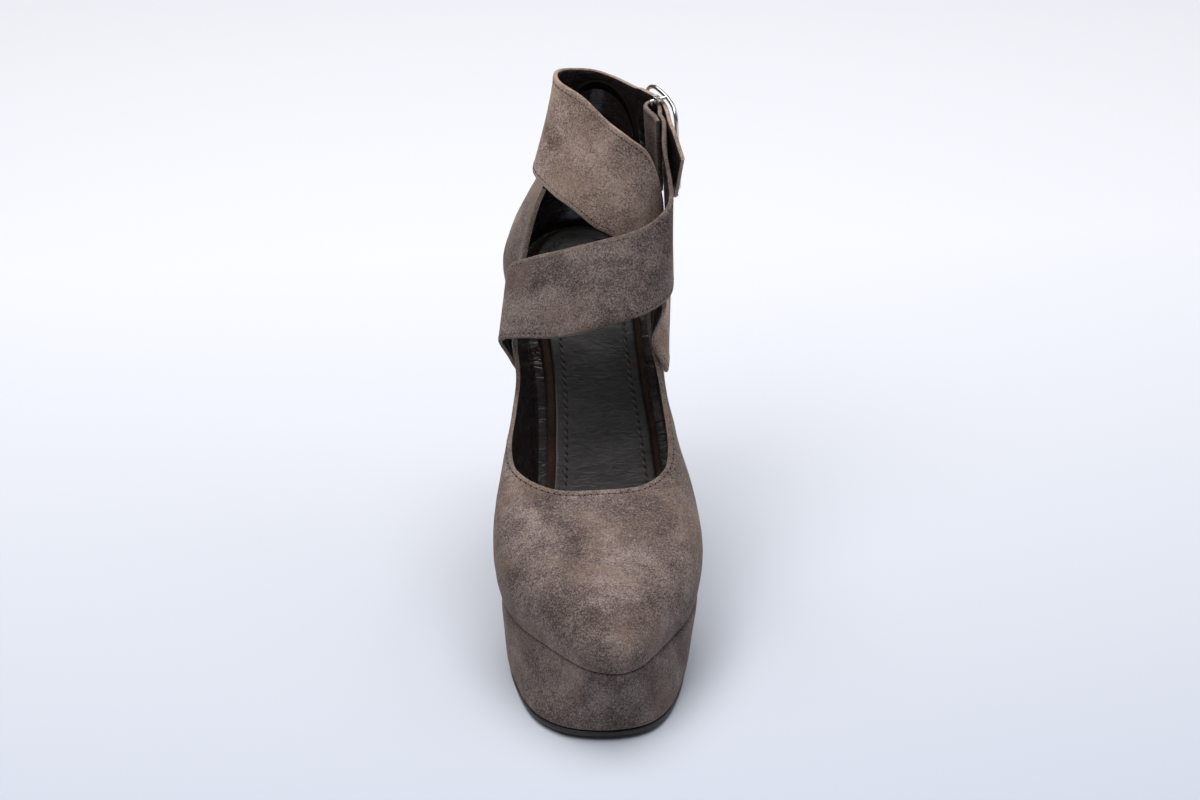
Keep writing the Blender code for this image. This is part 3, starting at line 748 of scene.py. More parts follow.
@dataclass
class Stitching:
    """Lockstitches laid along a path, each with the pinhole where its thread goes in."""

    pitch: float = 2.6 * MM
    length: float = 1.9 * MM
    thread: float = 0.60 * MM
    hole: float = 0.50 * MM
    slant: float = 0.0
    finish: Finish = Finish.THREAD

    def spaced(self, route: Route) -> list[tuple[Vector, Vector, Vector]]:
        """Places a pitch apart along a route.

        Args:
            route: points with the surface's outward direction.

        Returns:
            Point, direction along and direction out, one for each stitch.
        """
        places, walked, wanted = [], 0.0, self.pitch / 2.0
        for (start, out), (end, next_out) in zip(route, route[1:]):
            run = (end - start).length
            while run > 0.0 and walked + run >= wanted:
                share = (wanted - walked) / run
                ahead = (end - start).normalized()
                places.append((start.lerp(end, share), ahead, out.lerp(next_out, share).normalized()))
                wanted += self.pitch
            walked += run
        return places

    def ball(self, bm: bmesh.types.BMesh, spot: Vector, turn: Matrix, half: tuple[float, ...]) -> None:
        """Adds one flattened ball: a stitch's thread or its pinhole.

        Args:
            bm: the bmesh that takes it.
            spot: its middle.
            turn: its directions.
            half: its half sizes along them.
        """
        sizes = Matrix.Diagonal((*half, 1.0))
        bmesh.ops.create_icosphere(bm, subdivisions=1, radius=1.0,
                                   matrix=Matrix.Translation(spot) @ turn @ sizes)

    def sewn(self, name: str, routes: Sequence[Route], slot: str) -> bpy.types.Object:
        """Lays the stitches along the routes as one piece.

        Args:
            name: plain name of the piece.
            routes: points with outward directions, one list for each row.
            slot: the record's material slot.

        Returns:
            The piece's object.
        """
        bm = bmesh.new()
        for route in routes:
            for point, along, out in self.spaced(route):
                side = out.cross(along).normalized()
                ahead = (along * math.cos(self.slant) + side * math.sin(self.slant)).normalized()
                turn = Matrix((ahead, out.cross(ahead).normalized(), out)).transposed().to_4x4()
                self.ball(bm, point, turn, (self.length / 2.0, self.thread / 2.0, self.thread * 0.36))
                if self.hole > 0.0:
                    # The pinhole: a flat dark ball, painted shade of the hole.
                    older = set(bm.faces)
                    spot = point + along * self.pitch / 2.0
                    self.ball(bm, spot, turn, (self.hole, self.hole, self.hole * 0.18))
                    for face in set(bm.faces) - older:
                        face.material_index = 1
        return piece_of(name, bm, (self.finish.dressed(), Finish.HOLE.dressed()), slot, sharp_degrees=180.0)


# The upper


@dataclass
class Crease:
    """One soft trough or ridge of the leather, between two places on the wall."""

    first: tuple[float, float]
    second: tuple[float, float]
    width: float
    height: float


@dataclass
class Upper:
    """Vamp and quarters: one lasted wall of suede on lining leather."""

    last: Last
    wall: float = 1.8 * MM
    margin: float = 7.0 * MM
    steps_per_row: int = 8
    wall_steps: int = 34
    margin_steps: int = 2
    stitch_inset: float = 2.2 * MM
    bound_and_shaded_from: float = 11.4
    creases: tuple[Crease, ...] = (
        Crease((-6.2, 0.30), (-8.4, 0.86), 2.6 * MM, -0.55 * MM),
        Crease((-7.4, 0.20), (-9.2, 0.70), 2.2 * MM, -0.50 * MM),
        Crease((-6.6, 0.52), (-7.7, 0.98), 2.8 * MM, 0.45 * MM),
        Crease((6.4, 0.34), (8.3, 0.90), 2.4 * MM, -0.50 * MM),
        Crease((7.5, 0.24), (9.3, 0.74), 2.2 * MM, -0.50 * MM),
        Crease((6.9, 0.58), (7.8, 0.98), 2.6 * MM, 0.40 * MM),
        Crease((-4.6, 0.10), (-3.4, 0.42), 3.0 * MM, -0.25 * MM),
        Crease((4.4, 0.12), (3.2, 0.40), 3.2 * MM, -0.25 * MM),
        Crease((-10.6, 0.62), (-12.0, 0.30), 3.0 * MM, -0.45 * MM),
        Crease((-11.0, 0.80), (-12.6, 0.52), 3.4 * MM, 0.40 * MM),
        Crease((10.8, 0.60), (12.2, 0.34), 3.0 * MM, -0.40 * MM),
        Crease((-9.7, 0.80), (-11.8, 0.86), 2.2 * MM, -0.85 * MM),
        Crease((-9.9, 0.48), (-11.2, 0.70), 3.2 * MM, 0.45 * MM),
        Crease((-2.6, 0.74), (1.6, 0.42), 4.5 * MM, -0.35 * MM),
        Crease((-3.4, 0.40), (0.6, 0.22), 4.0 * MM, 0.35 * MM),
        Crease((2.2, 0.80), (4.2, 0.46), 4.0 * MM, -0.35 * MM))

    def lift(self, point: Vector) -> float:
        """How far the creases and the lasted skin move the wall out.

        Args:
            point: a point of the smooth wall.

        Returns:
            The distance out, below zero in a trough.
        """
        total = noise.noise(point * 70.0) * 0.22 * MM + noise.noise(point * 210.0) * 0.08 * MM
        for crease, start, end in self.lines:
            span = end - start
            share = min(max((point - start).dot(span) / span.length_squared, 0.0), 1.0)
            fade = math.sin(math.pi * min(max(share, 0.12), 0.88))
            total += crease.height * fade * bell((point - start - span * share).length, crease.width)
        return total

    def face(self, section: float, height: float) -> tuple[Vector, Vector]:
        """A creased point of the wall.

        Args:
            section: signed section of the last.
            height: share of the wall's height.

        Returns:
            The point and its outward direction.
        """
        point = self.last.wall_point(section, height)
        normal = self.last.wall_normal(section, height)
        hold = min(1.0, (1.0 - height) * 6.0, height * 8.0)
        return point + normal * self.lift(point) * hold, normal

    def top_route(self, inset: float) -> Route:
        """A line under the top line.

        Args:
            inset: its distance from the edge.

        Returns:
            Points with their outward directions.
        """
        route = []
        steps = 2 * self.last.last_section * 10
        for number in range(steps + 1):
            section = self.last.wrapped(number / 10.0)
            drop = (self.last.wall_point(section, 1.0) - self.last.wall_point(section, 0.95)).length
            route.append(self.face(section, 1.0 - 0.05 * inset / drop))
        return route

    def build(self) -> None:
        """Builds the wall and its top stitching."""
        last = self.last
        self.lines = [(crease, last.wall_point(*crease.first), last.wall_point(*crease.second))
                      for crease in self.creases]
        rows = self.wall_steps + self.margin_steps
        bm, round_share, up_share = grid(2 * last.last_section * self.steps_per_row, rows)
        edge = bm.verts.layers.float.new("edge_mm")
        for vert in bm.verts:
            section = last.wrapped(vert[round_share] * 2.0 * last.last_section)
            row = vert[up_share] * rows - self.margin_steps
            height = max(row, 0.0) / self.wall_steps
            height = 1.0 - (1.0 - height) ** 1.15
            vert.co = self.face(section, height)[0]
            vert[edge] = (last.wall_point(section, 1.0) - vert.co).length / MM
            if row < -0.5:
                inset = self.margin * (-row / self.margin_steps)
                plan = last.line("feather", section) - last.feather_normal(section) * inset
                vert.co = last.on_footbed(plan, last.gap)
        bmesh.ops.remove_doubles(bm, verts=bm.verts, dist=1e-6)
        bmesh.ops.recalc_face_normals(bm, faces=bm.faces)
        bm.faces.ensure_lookup_table()
        wall_face = max(bm.faces, key=lambda face: face.calc_center_median().x)
        if wall_face.normal.x < 0.0:
            bmesh.ops.reverse_faces(bm, faces=bm.faces)
        # At the back the top rows of the suede take the near-black binding: painted shade under the ankle
        # band.
        top_row = 1.0 - 2.5 / rows
        for face in bm.faces:
            behind = last.wrapped(face.verts[0][round_share] * 2.0 * last.last_section)
            if abs(behind) > self.bound_and_shaded_from and min(vert[up_share] for vert in face.verts) > top_row:
                face.material_index = 1
        # The inner wall takes the two materials after the outer wall's two.
        order = (Finish.SUEDE, Finish.BINDING, Finish.LINING, Finish.BINDING)
        finishes = [finish.dressed() for finish in order]
        piece = piece_of("upper_suede", bm, finishes, "suede", ("upper",))
        wall = piece.modifiers.new("wall", "SOLIDIFY")
        wall.thickness = self.wall
        wall.offset = -1.0
        wall.use_even_offset = True
        wall.material_offset = 2
        rim = piece.modifiers.new("turned_edge", "BEVEL")
        rim.width = 0.55 * MM
        rim.segments = 3
        rim.limit_method = "ANGLE"
        rim.angle_limit = math.radians(55.0)
        Stitching().sewn("upper_top_stitches", [self.top_route(self.stitch_inset)], "suede")


# Platform, sole and heel


@dataclass
class Platform:
    """The platform's core under its suede cover, turned under at the sole."""

    last: Last
    end_section: float = 8.4
    lip: float = 0.5 * MM
    steps: int = 96
    across: int = 20
    # Share of the way down, and how far the cover is set in there, in millimetres.
    levels: tuple[tuple[float, float], ...] = (
        (0.0, 2.2), (0.010, 1.2), (0.035, 0.5), (0.08, 0.1), (0.15, -0.1), (0.26, -0.08),
        (0.38, 0.0), (0.48, 0.05), (0.58, 0.0), (0.70, 0.0), (0.80, 0.0), (0.88, 0.05),
        (0.94, 0.2), (0.98, 0.55), (1.0, 1.3))

    def level(self, share: float, inset: float) -> Placer:
        """One level of the cover.

        Args:
            share: share of the way down.
            inset: how far the level is set in.

        Returns:
            A function from the shares along and across to a point.
        """
        def placed(a: float, b: float) -> Vector:
            """The point at two shares, along and across."""
            section = a * self.end_section
            high = self.last.feather_inside(section, b, -self.lip + inset)
            low = self.last.base_inside(section, b, inset)
            point = high.lerp(low, share ** 1.5)
            along = self.last.along(point)
            point.z = self.last.footbed(along) - share * self.last.depth(along)
            if 0.01 < share < 0.99:
                push = noise.noise(point * 55.0) * 0.35 * MM
                middle = self.last.base_inside(section, 0.5, 0.0)
                away = Vector((point.x - middle.x, (point.y - middle.y) * 0.5, 0.0))
                if away.length > 1e-6:
                    share_out = min(1.0, abs(b - 0.5) * 3.0 + (1.0 if a < 0.1 else 0.0))
                    point += away.normalized() * push * share_out
            return point
        return placed

    def build(self) -> None:
        """Builds the cover."""
        levels = [self.level(share, inset * MM) for share, inset in self.levels]
        bm = stacked(levels, self.steps, self.across)
        measured(bm, lambda vert: abs(vert.co.z - self.last.underside(self.last.along(vert.co))) / MM)
        # The cover takes the suede painted in shade.
        piece_of("platform_cover", bm, (Finish.SUEDE_DARK.dressed(),), "suede", ("platform",))


@dataclass
class Outsole:
    """The thin sole: its edge is ground, stained and waxed, its face stays matt."""

    last: Last
    end_section: float = 10.5
    inset: float = 0.4 * MM
    # How far each level is set in, in millimetres, and its share of the thickness.
    levels: tuple[tuple[float, float], ...] = (
        (0.6, 0.0), (0.25, 0.06), (0.1, 0.2), (0.22, 0.35), (0.22, 0.6), (0.35, 0.8),
        (0.9, 0.95), (1.6, 1.0))

    def level(self, inset: float, depth: float) -> Placer:
        """One level of the sole.

        Args:
            inset: how far the level is set in.
            depth: how deep it lies under the cover.

        Returns:
            A function from the shares along and across to a point.
        """
        def placed(a: float, b: float) -> Vector:
            """The point at two shares, along and across."""
            last = self.last
            point = last.base_inside(a * self.end_section, b, inset)
            along = last.along(point)
            height = last.underside(along) - (last.gap + depth) * last.slant(last.underside, along)
            point.z = max(height, last.sole_thickness - depth)
            return point
        return placed

    def build(self) -> None:
        """Builds the sole with the two fine beads of its edge."""
        thick = self.last.sole_thickness
        levels = [self.level(self.inset + inset * MM, thick * share) for inset, share in self.levels]
        bm = stacked(levels, 110, 16)
        piece_of("outsole_waxed", bm, (Finish.SOLE.dressed(),), "sole_leather", ("outsole",))


@dataclass
class Heel:
    """The tall slim heel in its suede cover, with a hard top piece."""

    last: Last
    first_section: float = 10.62
    seat_inset: float = 1.0 * MM
    seat_blend: float = 0.14
    tip_height: float = 6.0 * MM
    tip_reach: float = 6.0 * MM
    tip_edge: float = 0.3 * MM
    cover_levels: int = 40
    steps: tuple[int, int] = (30, 14)
    rows: Rows = field(default_factory=lambda: table(
        "down front back half",
        (0.00, 0.780, 0.981, 0.640), (0.07, 0.812, 0.978, 0.540), (0.16, 0.842, 0.974, 0.430),
        (0.30, 0.868, 0.967, 0.315), (0.50, 0.886, 0.961, 0.225), (0.75, 0.896, 0.957, 0.168),
        (1.00, 0.899, 0.956, 0.148)))

    def outline(self, down: float, a: float, b: float) -> Vector:
        """Plan point in one of the heel's outlines: flat at the front, round behind.

        Args:
            down: share of the way down.
            a: share from front to back.
            b: share from the inner to the outer side.

        Returns:
            The point, at height zero.
        """
        front, back, half = (shares_read(self.rows["down"], self.rows[name], down)
                             for name in ("front", "back", "half"))
        round_share = min(max(0.0, (a - 0.42) / 0.58), 1.0)
        hollow = (1.0 - (2.0 * b - 1.0) ** 2) * (1.0 - a) * half * 0.16
        half *= self.last.ball_width / 2.0 * (1.0 - round_share ** 2.3) ** (1.0 / 2.3)
        along = front + (back - front) * (a + hollow)
        return self.last.zero + Vector(((2.0 * b - 1.0) * half, along * self.last.length, 0.0))

    def level(self, share: float) -> Placer:
        """One level of the heel's cover.

        Args:
            share: which level, from 0 at the seat to 1 at the top piece.

        Returns:
            A function from the shares along and across to a point.
        """
        def placed(a: float, b: float) -> Vector:
            """The point at two shares, along and across."""
            last = self.last
            down = share ** 1.6
            section = self.first_section + (last.last_section - self.first_section) * a
            seat = last.feather_inside(section, b, self.seat_inset)
            blend = min(1.0, down / self.seat_blend)
            plan = seat.lerp(self.outline(down, a, b), blend * (2.0 - blend))
            foot = self.tip_height + last.gap
            plan.z = last.footbed(last.along(seat)) * (1.0 - down) + foot * down
            return plan
        return placed

    def tip_level(self, height: float, inset: float) -> Placer:
        """One level of the top piece.

        Args:
            height: its height over the ground.
            inset: how far its edge is set in.

        Returns:
            A function from the shares along and across to a point.
        """
        def placed(a: float, b: float) -> Vector:
            """The point at two shares, along and across."""
            middle = self.outline(1.0, 0.5, 0.5)
            plan = middle.lerp(self.outline(1.0, a, b), 1.0 - inset / self.tip_reach)
            plan.z = height
            return plan
        return placed

    def build(self) -> None:
        """Builds the cover and the top piece."""
        count = self.cover_levels
        bm = stacked([self.level(number / count) for number in range(count + 1)], *self.steps)
        measured(bm, lambda vert: FAR_FROM_EDGE)
        piece_of("heel_cover", bm, (Finish.SUEDE.dressed(),), "suede", ("heel",))
        heights = ((1.0, self.tip_edge), (0.97, 0.0), (0.06, 0.0), (0.0, self.tip_edge))
        levels = [self.tip_level(self.tip_height * share, inset) for share, inset in heights]
        bm = stacked(levels, *self.steps)
        piece_of("heel_top_piece", bm, (Finish.RUBBER.dressed(),), "tip_rubber", ("heel_tip",))


# The footbed


@dataclass
class Footbed:
    """The board with its wrapped suede edge, and the sock stitched on it."""

    last: Last
    wall: float = 1.8 * MM
    board_inset: float = 3.4 * MM
    board_thickness: float = 3.2 * MM
    sock_inset: float = 3.4 * MM
    sock_thickness: float = 1.0 * MM
    rope_inset: float = 4.6 * MM
    rope_start: float = 1.4
    rope_points: int = 128
    wave_height: float = 0.22 * MM
    # Depth under the board's top and how far in, both in millimetres, for its soft edge.
    board_levels: tuple[tuple[float, float], ...] = (
        (0.5, 2.6), (0.1, 1.7), (0.0, 1.0), (0.25, 0.35), (0.9, 0.0))

    def level(self, height: float, inset: float, waves: float = 0.0) -> Placer:
        """One level over the footbed.

        Args:
            height: its height over the footbed.
            inset: how far it is set in from the feather line.
            waves: height of the sock's soft waves.

        Returns:
            A function from the shares along and across to a point.
        """
        def placed(a: float, b: float) -> Vector:
            """The point at two shares, along and across."""
            plan = self.last.feather_inside(a * self.last.last_section, b, inset)
            lift = height + waves * noise.noise(Vector((plan.x * 60.0, plan.y * 190.0, 3.0)))
            return self.last.on_footbed(plan, lift)
        return placed

    def rope_route(self, side: float) -> Route:
        """The line of the sock's stitches on one side.

        Args:
            side: 1 for the outer side and -1 for the inner.

        Returns:
            Points with their outward directions.
        """
        route = []
        height = self.sock_foot + self.sock_thickness + 0.25 * MM
        inset = self.wall + self.board_inset + self.sock_inset + self.rope_inset
        for number in range(self.rope_points):
            section = side * (self.rope_start + number * 0.1)
            plan = self.last.line("feather", section) - self.last.feather_normal(section) * inset
            point = self.last.on_footbed(plan, height)
            ahead = self.last.on_footbed(plan + Vector((0.0, MM, 0.0)), height) - point
            route.append((point, Vector((1.0, 0.0, 0.0)).cross(ahead).normalized()))
        return route

    def build(self) -> None:
        """Builds the board, the sock and its rope-like stitches."""
        foot = 2.0 * self.last.gap + self.wall
        inset = self.wall + self.board_inset
        top = foot + self.board_thickness
        board = [self.level(top - depth * MM, inset + more * MM) for depth, more in self.board_levels]
        board += [self.level(foot + 0.4 * MM, inset), self.level(foot, inset + 0.4 * MM)]
        bm = stacked(board, 120, 24)
        measured(bm, lambda vert: FAR_FROM_EDGE)
        piece_of("board_wrapped_edge", bm, (Finish.BOARD.dressed(),), "board_suede", ("insole_board",))
        self.sock_foot = top + self.last.gap
        sock_inset = inset + self.sock_inset
        high = self.sock_foot + self.sock_thickness
        sock = [self.level(high, sock_inset + 0.5 * MM, self.wave_height),
                self.level(high - 0.25 * MM, sock_inset + 0.1 * MM),
                self.level(self.sock_foot + 0.2 * MM, sock_inset),
                self.level(self.sock_foot, sock_inset + 0.2 * MM)]
        bm = stacked(sock, 150, 40)
        piece_of("sock_leather", bm, (Finish.SOCK.dressed(),), "sock_leather", ("sock_lining",))
        rope = Stitching(pitch=3.4 * MM, length=4.6 * MM, thread=1.15 * MM, hole=0.0,
                         slant=math.radians(24.0), finish=Finish.DARK_THREAD)
        rope.sewn("sock_rope_stitches", [self.rope_route(-1.0), self.rope_route(1.0)], "sock_leather")


# Straps and buckle


@dataclass
class Buckle:
    """The bowed buckle on the outer ankle, with its directions forward, up and out."""

    last: Last
    strap_width: float = 39.0 * MM
    strap_thickness: float = 2.0 * MM
    length: float = 26.0 * MM
    corner: float = 6.0 * MM
    edge_clearance: float = 0.9 * MM
    frame_radius: float = 1.1 * MM
    bar_radius: float = 1.4 * MM
    prong_radius: float = 0.9 * MM
    crown: float = 2.4 * MM
    yaw: float = math.radians(14.0)
    pitch: float = math.radians(14.0)
    lean: float = math.radians(8.0)
    # Shares of the CAD's radii at which frame and bar look as thin as in the photo.
    wire_share: float = 0.82
    bar_share: float = 0.60
    end_radius: float = 1.47 * MM
    end_hole: float = 0.70 * MM
    end_depth: float = 2.2 * MM
    bar_shares: tuple[float, float, float] = (0.712, 0.820, 0.897)
    strap_outs: tuple[float, float] = (-0.10, 0.68)

    def __post_init__(self) -> None:
        """Works out the buckle's directions and the straps' ways over its bar."""
        flat = math.cos(self.pitch)
        self.middle = self.last.place(*self.bar_shares)
        self.forward = Vector((flat * math.sin(self.yaw), -flat * math.cos(self.yaw), -math.sin(self.pitch)))
        upright = Vector((-math.sin(self.lean), 0.0, math.cos(self.lean)))
        self.up = (upright - self.forward * upright.dot(self.forward)).normalized()
        self.out = self.up.cross(self.forward).normalized()
        self.strap_pitch = self.strap_thickness + self.last.gap
        self.loop_radius = self.bar_radius + self.last.gap + self.strap_thickness / 2.0
        self.over_bar = self.loop_radius + self.strap_pitch
        self.half = self.length / 2.0
        self.top = self.strap_width / 2.0 + self.edge_clearance + self.frame_radius

    def point(self, forward: float, up: float, out: float) -> Vector:
        """A point from its distances along the buckle's directions."""
        return self.middle + self.forward * forward + self.up * up + self.out * out

    def edges(self, forward: float, out: float) -> Edge:
        """Both edges of a strap that lies across the buckle."""
        half = self.strap_width / 2.0
        return self.point(forward, -half, out), self.point(forward, half, out)

    def frame_out(self, forward: float) -> float:
        """How far out the bowed frame lies.

        Args:
            forward: distance forward of the bar.

        Returns:
            The distance out of the bar's middle.
        """
        share = forward / self.half
        clear = self.strap_thickness / 2.0 + 2.5 * self.last.gap + self.frame_radius
        rear, front = (out * self.over_bar + clear for out in self.strap_outs)
        return (rear + front) / 2.0 + (front - rear) / 2.0 * share + self.crown * (1.0 - share * share)

    def bar(self, points: Sequence[Vector], radius: float, cyclic: bool = False) -> bmesh.types.BMesh:
        """A round bar along points.

        Args:
            points: its middle line.
            radius: its radius.
            cyclic: whether it closes on itself.

        Returns:
            The bar's bmesh.
        """
        curve = bpy.data.curves.new("bar", "CURVE")
        curve.dimensions = "3D"
        curve.bevel_depth = radius
        curve.bevel_resolution = 3
        curve.use_fill_caps = not cyclic
        spline = curve.splines.new("POLY")
        spline.points.add(len(points) - 1)
        spline.use_cyclic_u = cyclic
        for target, point in zip(spline.points, points):
            target.co = (*point, 1.0)
        holder = bpy.data.objects.new("bar", curve)
        bpy.context.scene.collection.objects.link(holder)
        graph = bpy.context.evaluated_depsgraph_get()
        made = bpy.data.meshes.new_from_object(holder.evaluated_get(graph))
        bpy.data.objects.remove(holder)
        bpy.data.curves.remove(curve)
        bm = bmesh.new()
        bm.from_mesh(made)
        bpy.data.meshes.remove(made)
        bmesh.ops.remove_doubles(bm, verts=bm.verts, dist=1e-6)
        bmesh.ops.recalc_face_normals(bm, faces=bm.faces)
        return bm

    def ring(self, centre: Vector, axis: Vector) -> bmesh.types.BMesh:
        """A short open tube: one hollow end of the bar.

        Args:
            centre: its middle.
            axis: its direction out of the frame.

        Returns:
            The ring's bmesh.
        """
        radius, hole, depth = self.end_radius, self.end_hole, self.end_depth
        bm = bmesh.new()
        side = axis.orthogonal().normalized()
        start = centre + axis * depth / 2.0
        verts = [bm.verts.new(start + side * r - axis * d) for r, d in
                 ((hole, 0.0), (radius * 0.9, 0.0), (radius, 0.12 * depth), (radius, depth), (hole, depth))]
        edges = [bm.edges.new(pair) for pair in zip(verts, verts[1:] + verts[:1])]
        bmesh.ops.spin(bm, geom=verts + edges, cent=centre, axis=axis, angle=math.tau, steps=24,
                       use_merge=True)
        bmesh.ops.recalc_face_normals(bm, faces=bm.faces)
        return bm

    def outline(self) -> list[Vector]:
        """The frame's middle line.

        Returns:
            Points round its four corners and along the bowed long sides.
        """
        points = []
        for side_forward, side_up, first in ((1, 1, 0), (-1, 1, 90), (-1, -1, 180), (1, -1, 270)):
            centre_forward = side_forward * (self.half - self.corner)
            centre_up = side_up * (self.top - self.corner)
            for step in range(11):
                turn = math.radians(first + step * 9.0)
                forward = centre_forward + math.cos(turn) * self.corner
                up = centre_up + math.sin(turn) * self.corner
                points.append(self.point(forward, up, self.frame_out(forward)))
            if side_forward != side_up:
                continue
            for step in range(1, 8):
                forward = side_forward * (self.half - self.corner) * (1.0 - step / 4.0)
                points.append(self.point(forward, side_up * self.top, self.frame_out(forward)))
        return points

    def build(self) -> None:
        """Builds the frame with its bar, the bar's ends and the prong."""
        metal, slot = (Finish.METAL.dressed(),), "polished_metal"
        bm = self.bar(self.outline(), self.frame_radius * self.wire_share, True)
        piece_of("buckle_frame_plated", bm, metal, slot, ("buckle_frame",))
        top = self.frame_out(0.0)
        line = [self.point(0.0, up, out)
                for up, out in ((-self.top, top), (-self.top, 0.0), (self.top, 0.0), (self.top, top))]
        piece_of("buckle_bar_plated", self.bar(line, self.bar_radius * self.bar_share), metal, slot)
        for number, side in enumerate((-1.0, 1.0)):
            centre = self.point(0.0, side * (self.top + 0.6 * MM), top * 0.35)
            piece_of(f"buckle_bar_end_{number}", self.ring(centre, self.up * side), metal, slot)
        over = self.over_bar + self.strap_thickness / 2.0 + self.last.gap + self.prong_radius
        rear = self.frame_out(-self.half) + self.frame_radius + self.last.gap + self.prong_radius
        ways = ((0.12, over), (-0.2, over), (-0.7, (over + rear) / 2.0 + 0.3 * MM), (-1.1, rear))
        prong = [self.point(share * self.half, 0.0, out) for share, out in ways]
        piece_of("buckle_prong_plated", self.bar(prong, self.prong_radius), metal, slot, ("buckle_prong",))


@dataclass
class Strap:
    """A strap of suede on lining leather with turned edges, through its pairs of edges."""

    name: str
    node: str
    rows: list[Edge]
    facing: float
    suede: Finish
    width: float = 39.0 * MM
    thickness: float = 2.0 * MM
    steps_per_row: int = 9
    facets: int = 16
    stitch_inset: float = 2.1 * MM
    stitch_ends: tuple[float, float] = (0.004, 0.996)
    # Side of the middle, from 1 outside to -1 inside, and share by which the edges turn in.
    levels: tuple[tuple[float, float], ...] = (
        (1.0, 0.022), (0.72, 0.007), (0.2, 0.0), (-0.4, 0.0), (-0.8, 0.007), (-1.0, 0.02))

    def middle(self, a: float, b: float) -> Vector:
        """Middle of the strap.

        Args:
            a: share along it.
            b: share across it, from its lower edge.

        Returns:
            The point half-way through its thickness.
        """
        last = len(self.rows) - 1
        low = spline_read(self.lows, a * last)
        high = spline_read(self.highs, a * last)
        return low.lerp(high, b)

    def out(self, a: float, b: float) -> Vector:
        """Outward direction of the strap.

        Args:
            a: share along it.
            b: share across it.

        Returns:
            The direction, away from the foot.
        """
        step = 0.15 / (len(self.rows) - 1)
        onward = self.middle(min(a + step, 1.0), b) - self.middle(max(a - step, 0.0), b)
        upward = self.middle(a, 1.0) - self.middle(a, 0.0)
        return onward.cross(upward).normalized() * self.facing

    def level(self, side: float, inset: float) -> Placer:
        """One level through the strap's thickness.

        Args:
            side: 1 at the outer face and -1 at the lining.
            inset: share by which its edges are set in.

        Returns:
            A function from the shares along and across to a point.
        """
        def placed(a: float, b: float) -> Vector:
            """The point at two shares, along and across."""
            near = 1.0 - inset * 2.0
            inner = 0.5 + (b - 0.5) * near
            reach = 0.5 + (a - 0.5) * (1.0 - inset * 0.3)
            point = self.middle(reach, inner)
            groove = 0.0
            if side > 0.9:
                from_edge = min(inner, 1.0 - inner) * self.width
                groove = -0.22 * MM * bell(from_edge - self.stitch_inset, 0.75 * MM)
                groove += noise.noise(point * 90.0) * 0.10 * MM
            return point + self.out(reach, inner) * (side * self.thickness / 2.0 + groove)
        return placed

    def edge_route(self, b: float) -> Route:
        """A line of stitches along the strap's outer face.

        Args:
            b: share across it.

        Returns:
            Points with their outward directions.
        """
        route = []
        for a in np.linspace(*self.stitch_ends, 301):
            out = self.out(float(a), b)
            route.append((self.middle(float(a), b) + out * (self.thickness / 2.0 - 0.10 * MM), out))
        return route

    def build(self) -> None:
        """Builds the strap and both rows of its edge stitches."""
        self.lows = [low for low, _ in self.rows]
        self.highs = [high for _, high in self.rows]
        levels = [self.level(side, inset) for side, inset in self.levels]
        along_steps = (len(self.rows) - 1) * self.steps_per_row
        bm = stacked(levels, along_steps, self.facets, inside_from=len(levels) - 1)
        measured(bm, lambda vert: vert[bm.verts.layers.float["from_edge"]] * self.width / MM)
        piece_of(self.name, bm, (self.suede.dressed(), Finish.LINING.dressed()), "strap_suede", (self.node,))
        share = self.stitch_inset / self.width
        routes = [self.edge_route(share), self.edge_route(1.0 - share)]
        Stitching().sewn(self.name + "_stitches", routes, "strap_suede")


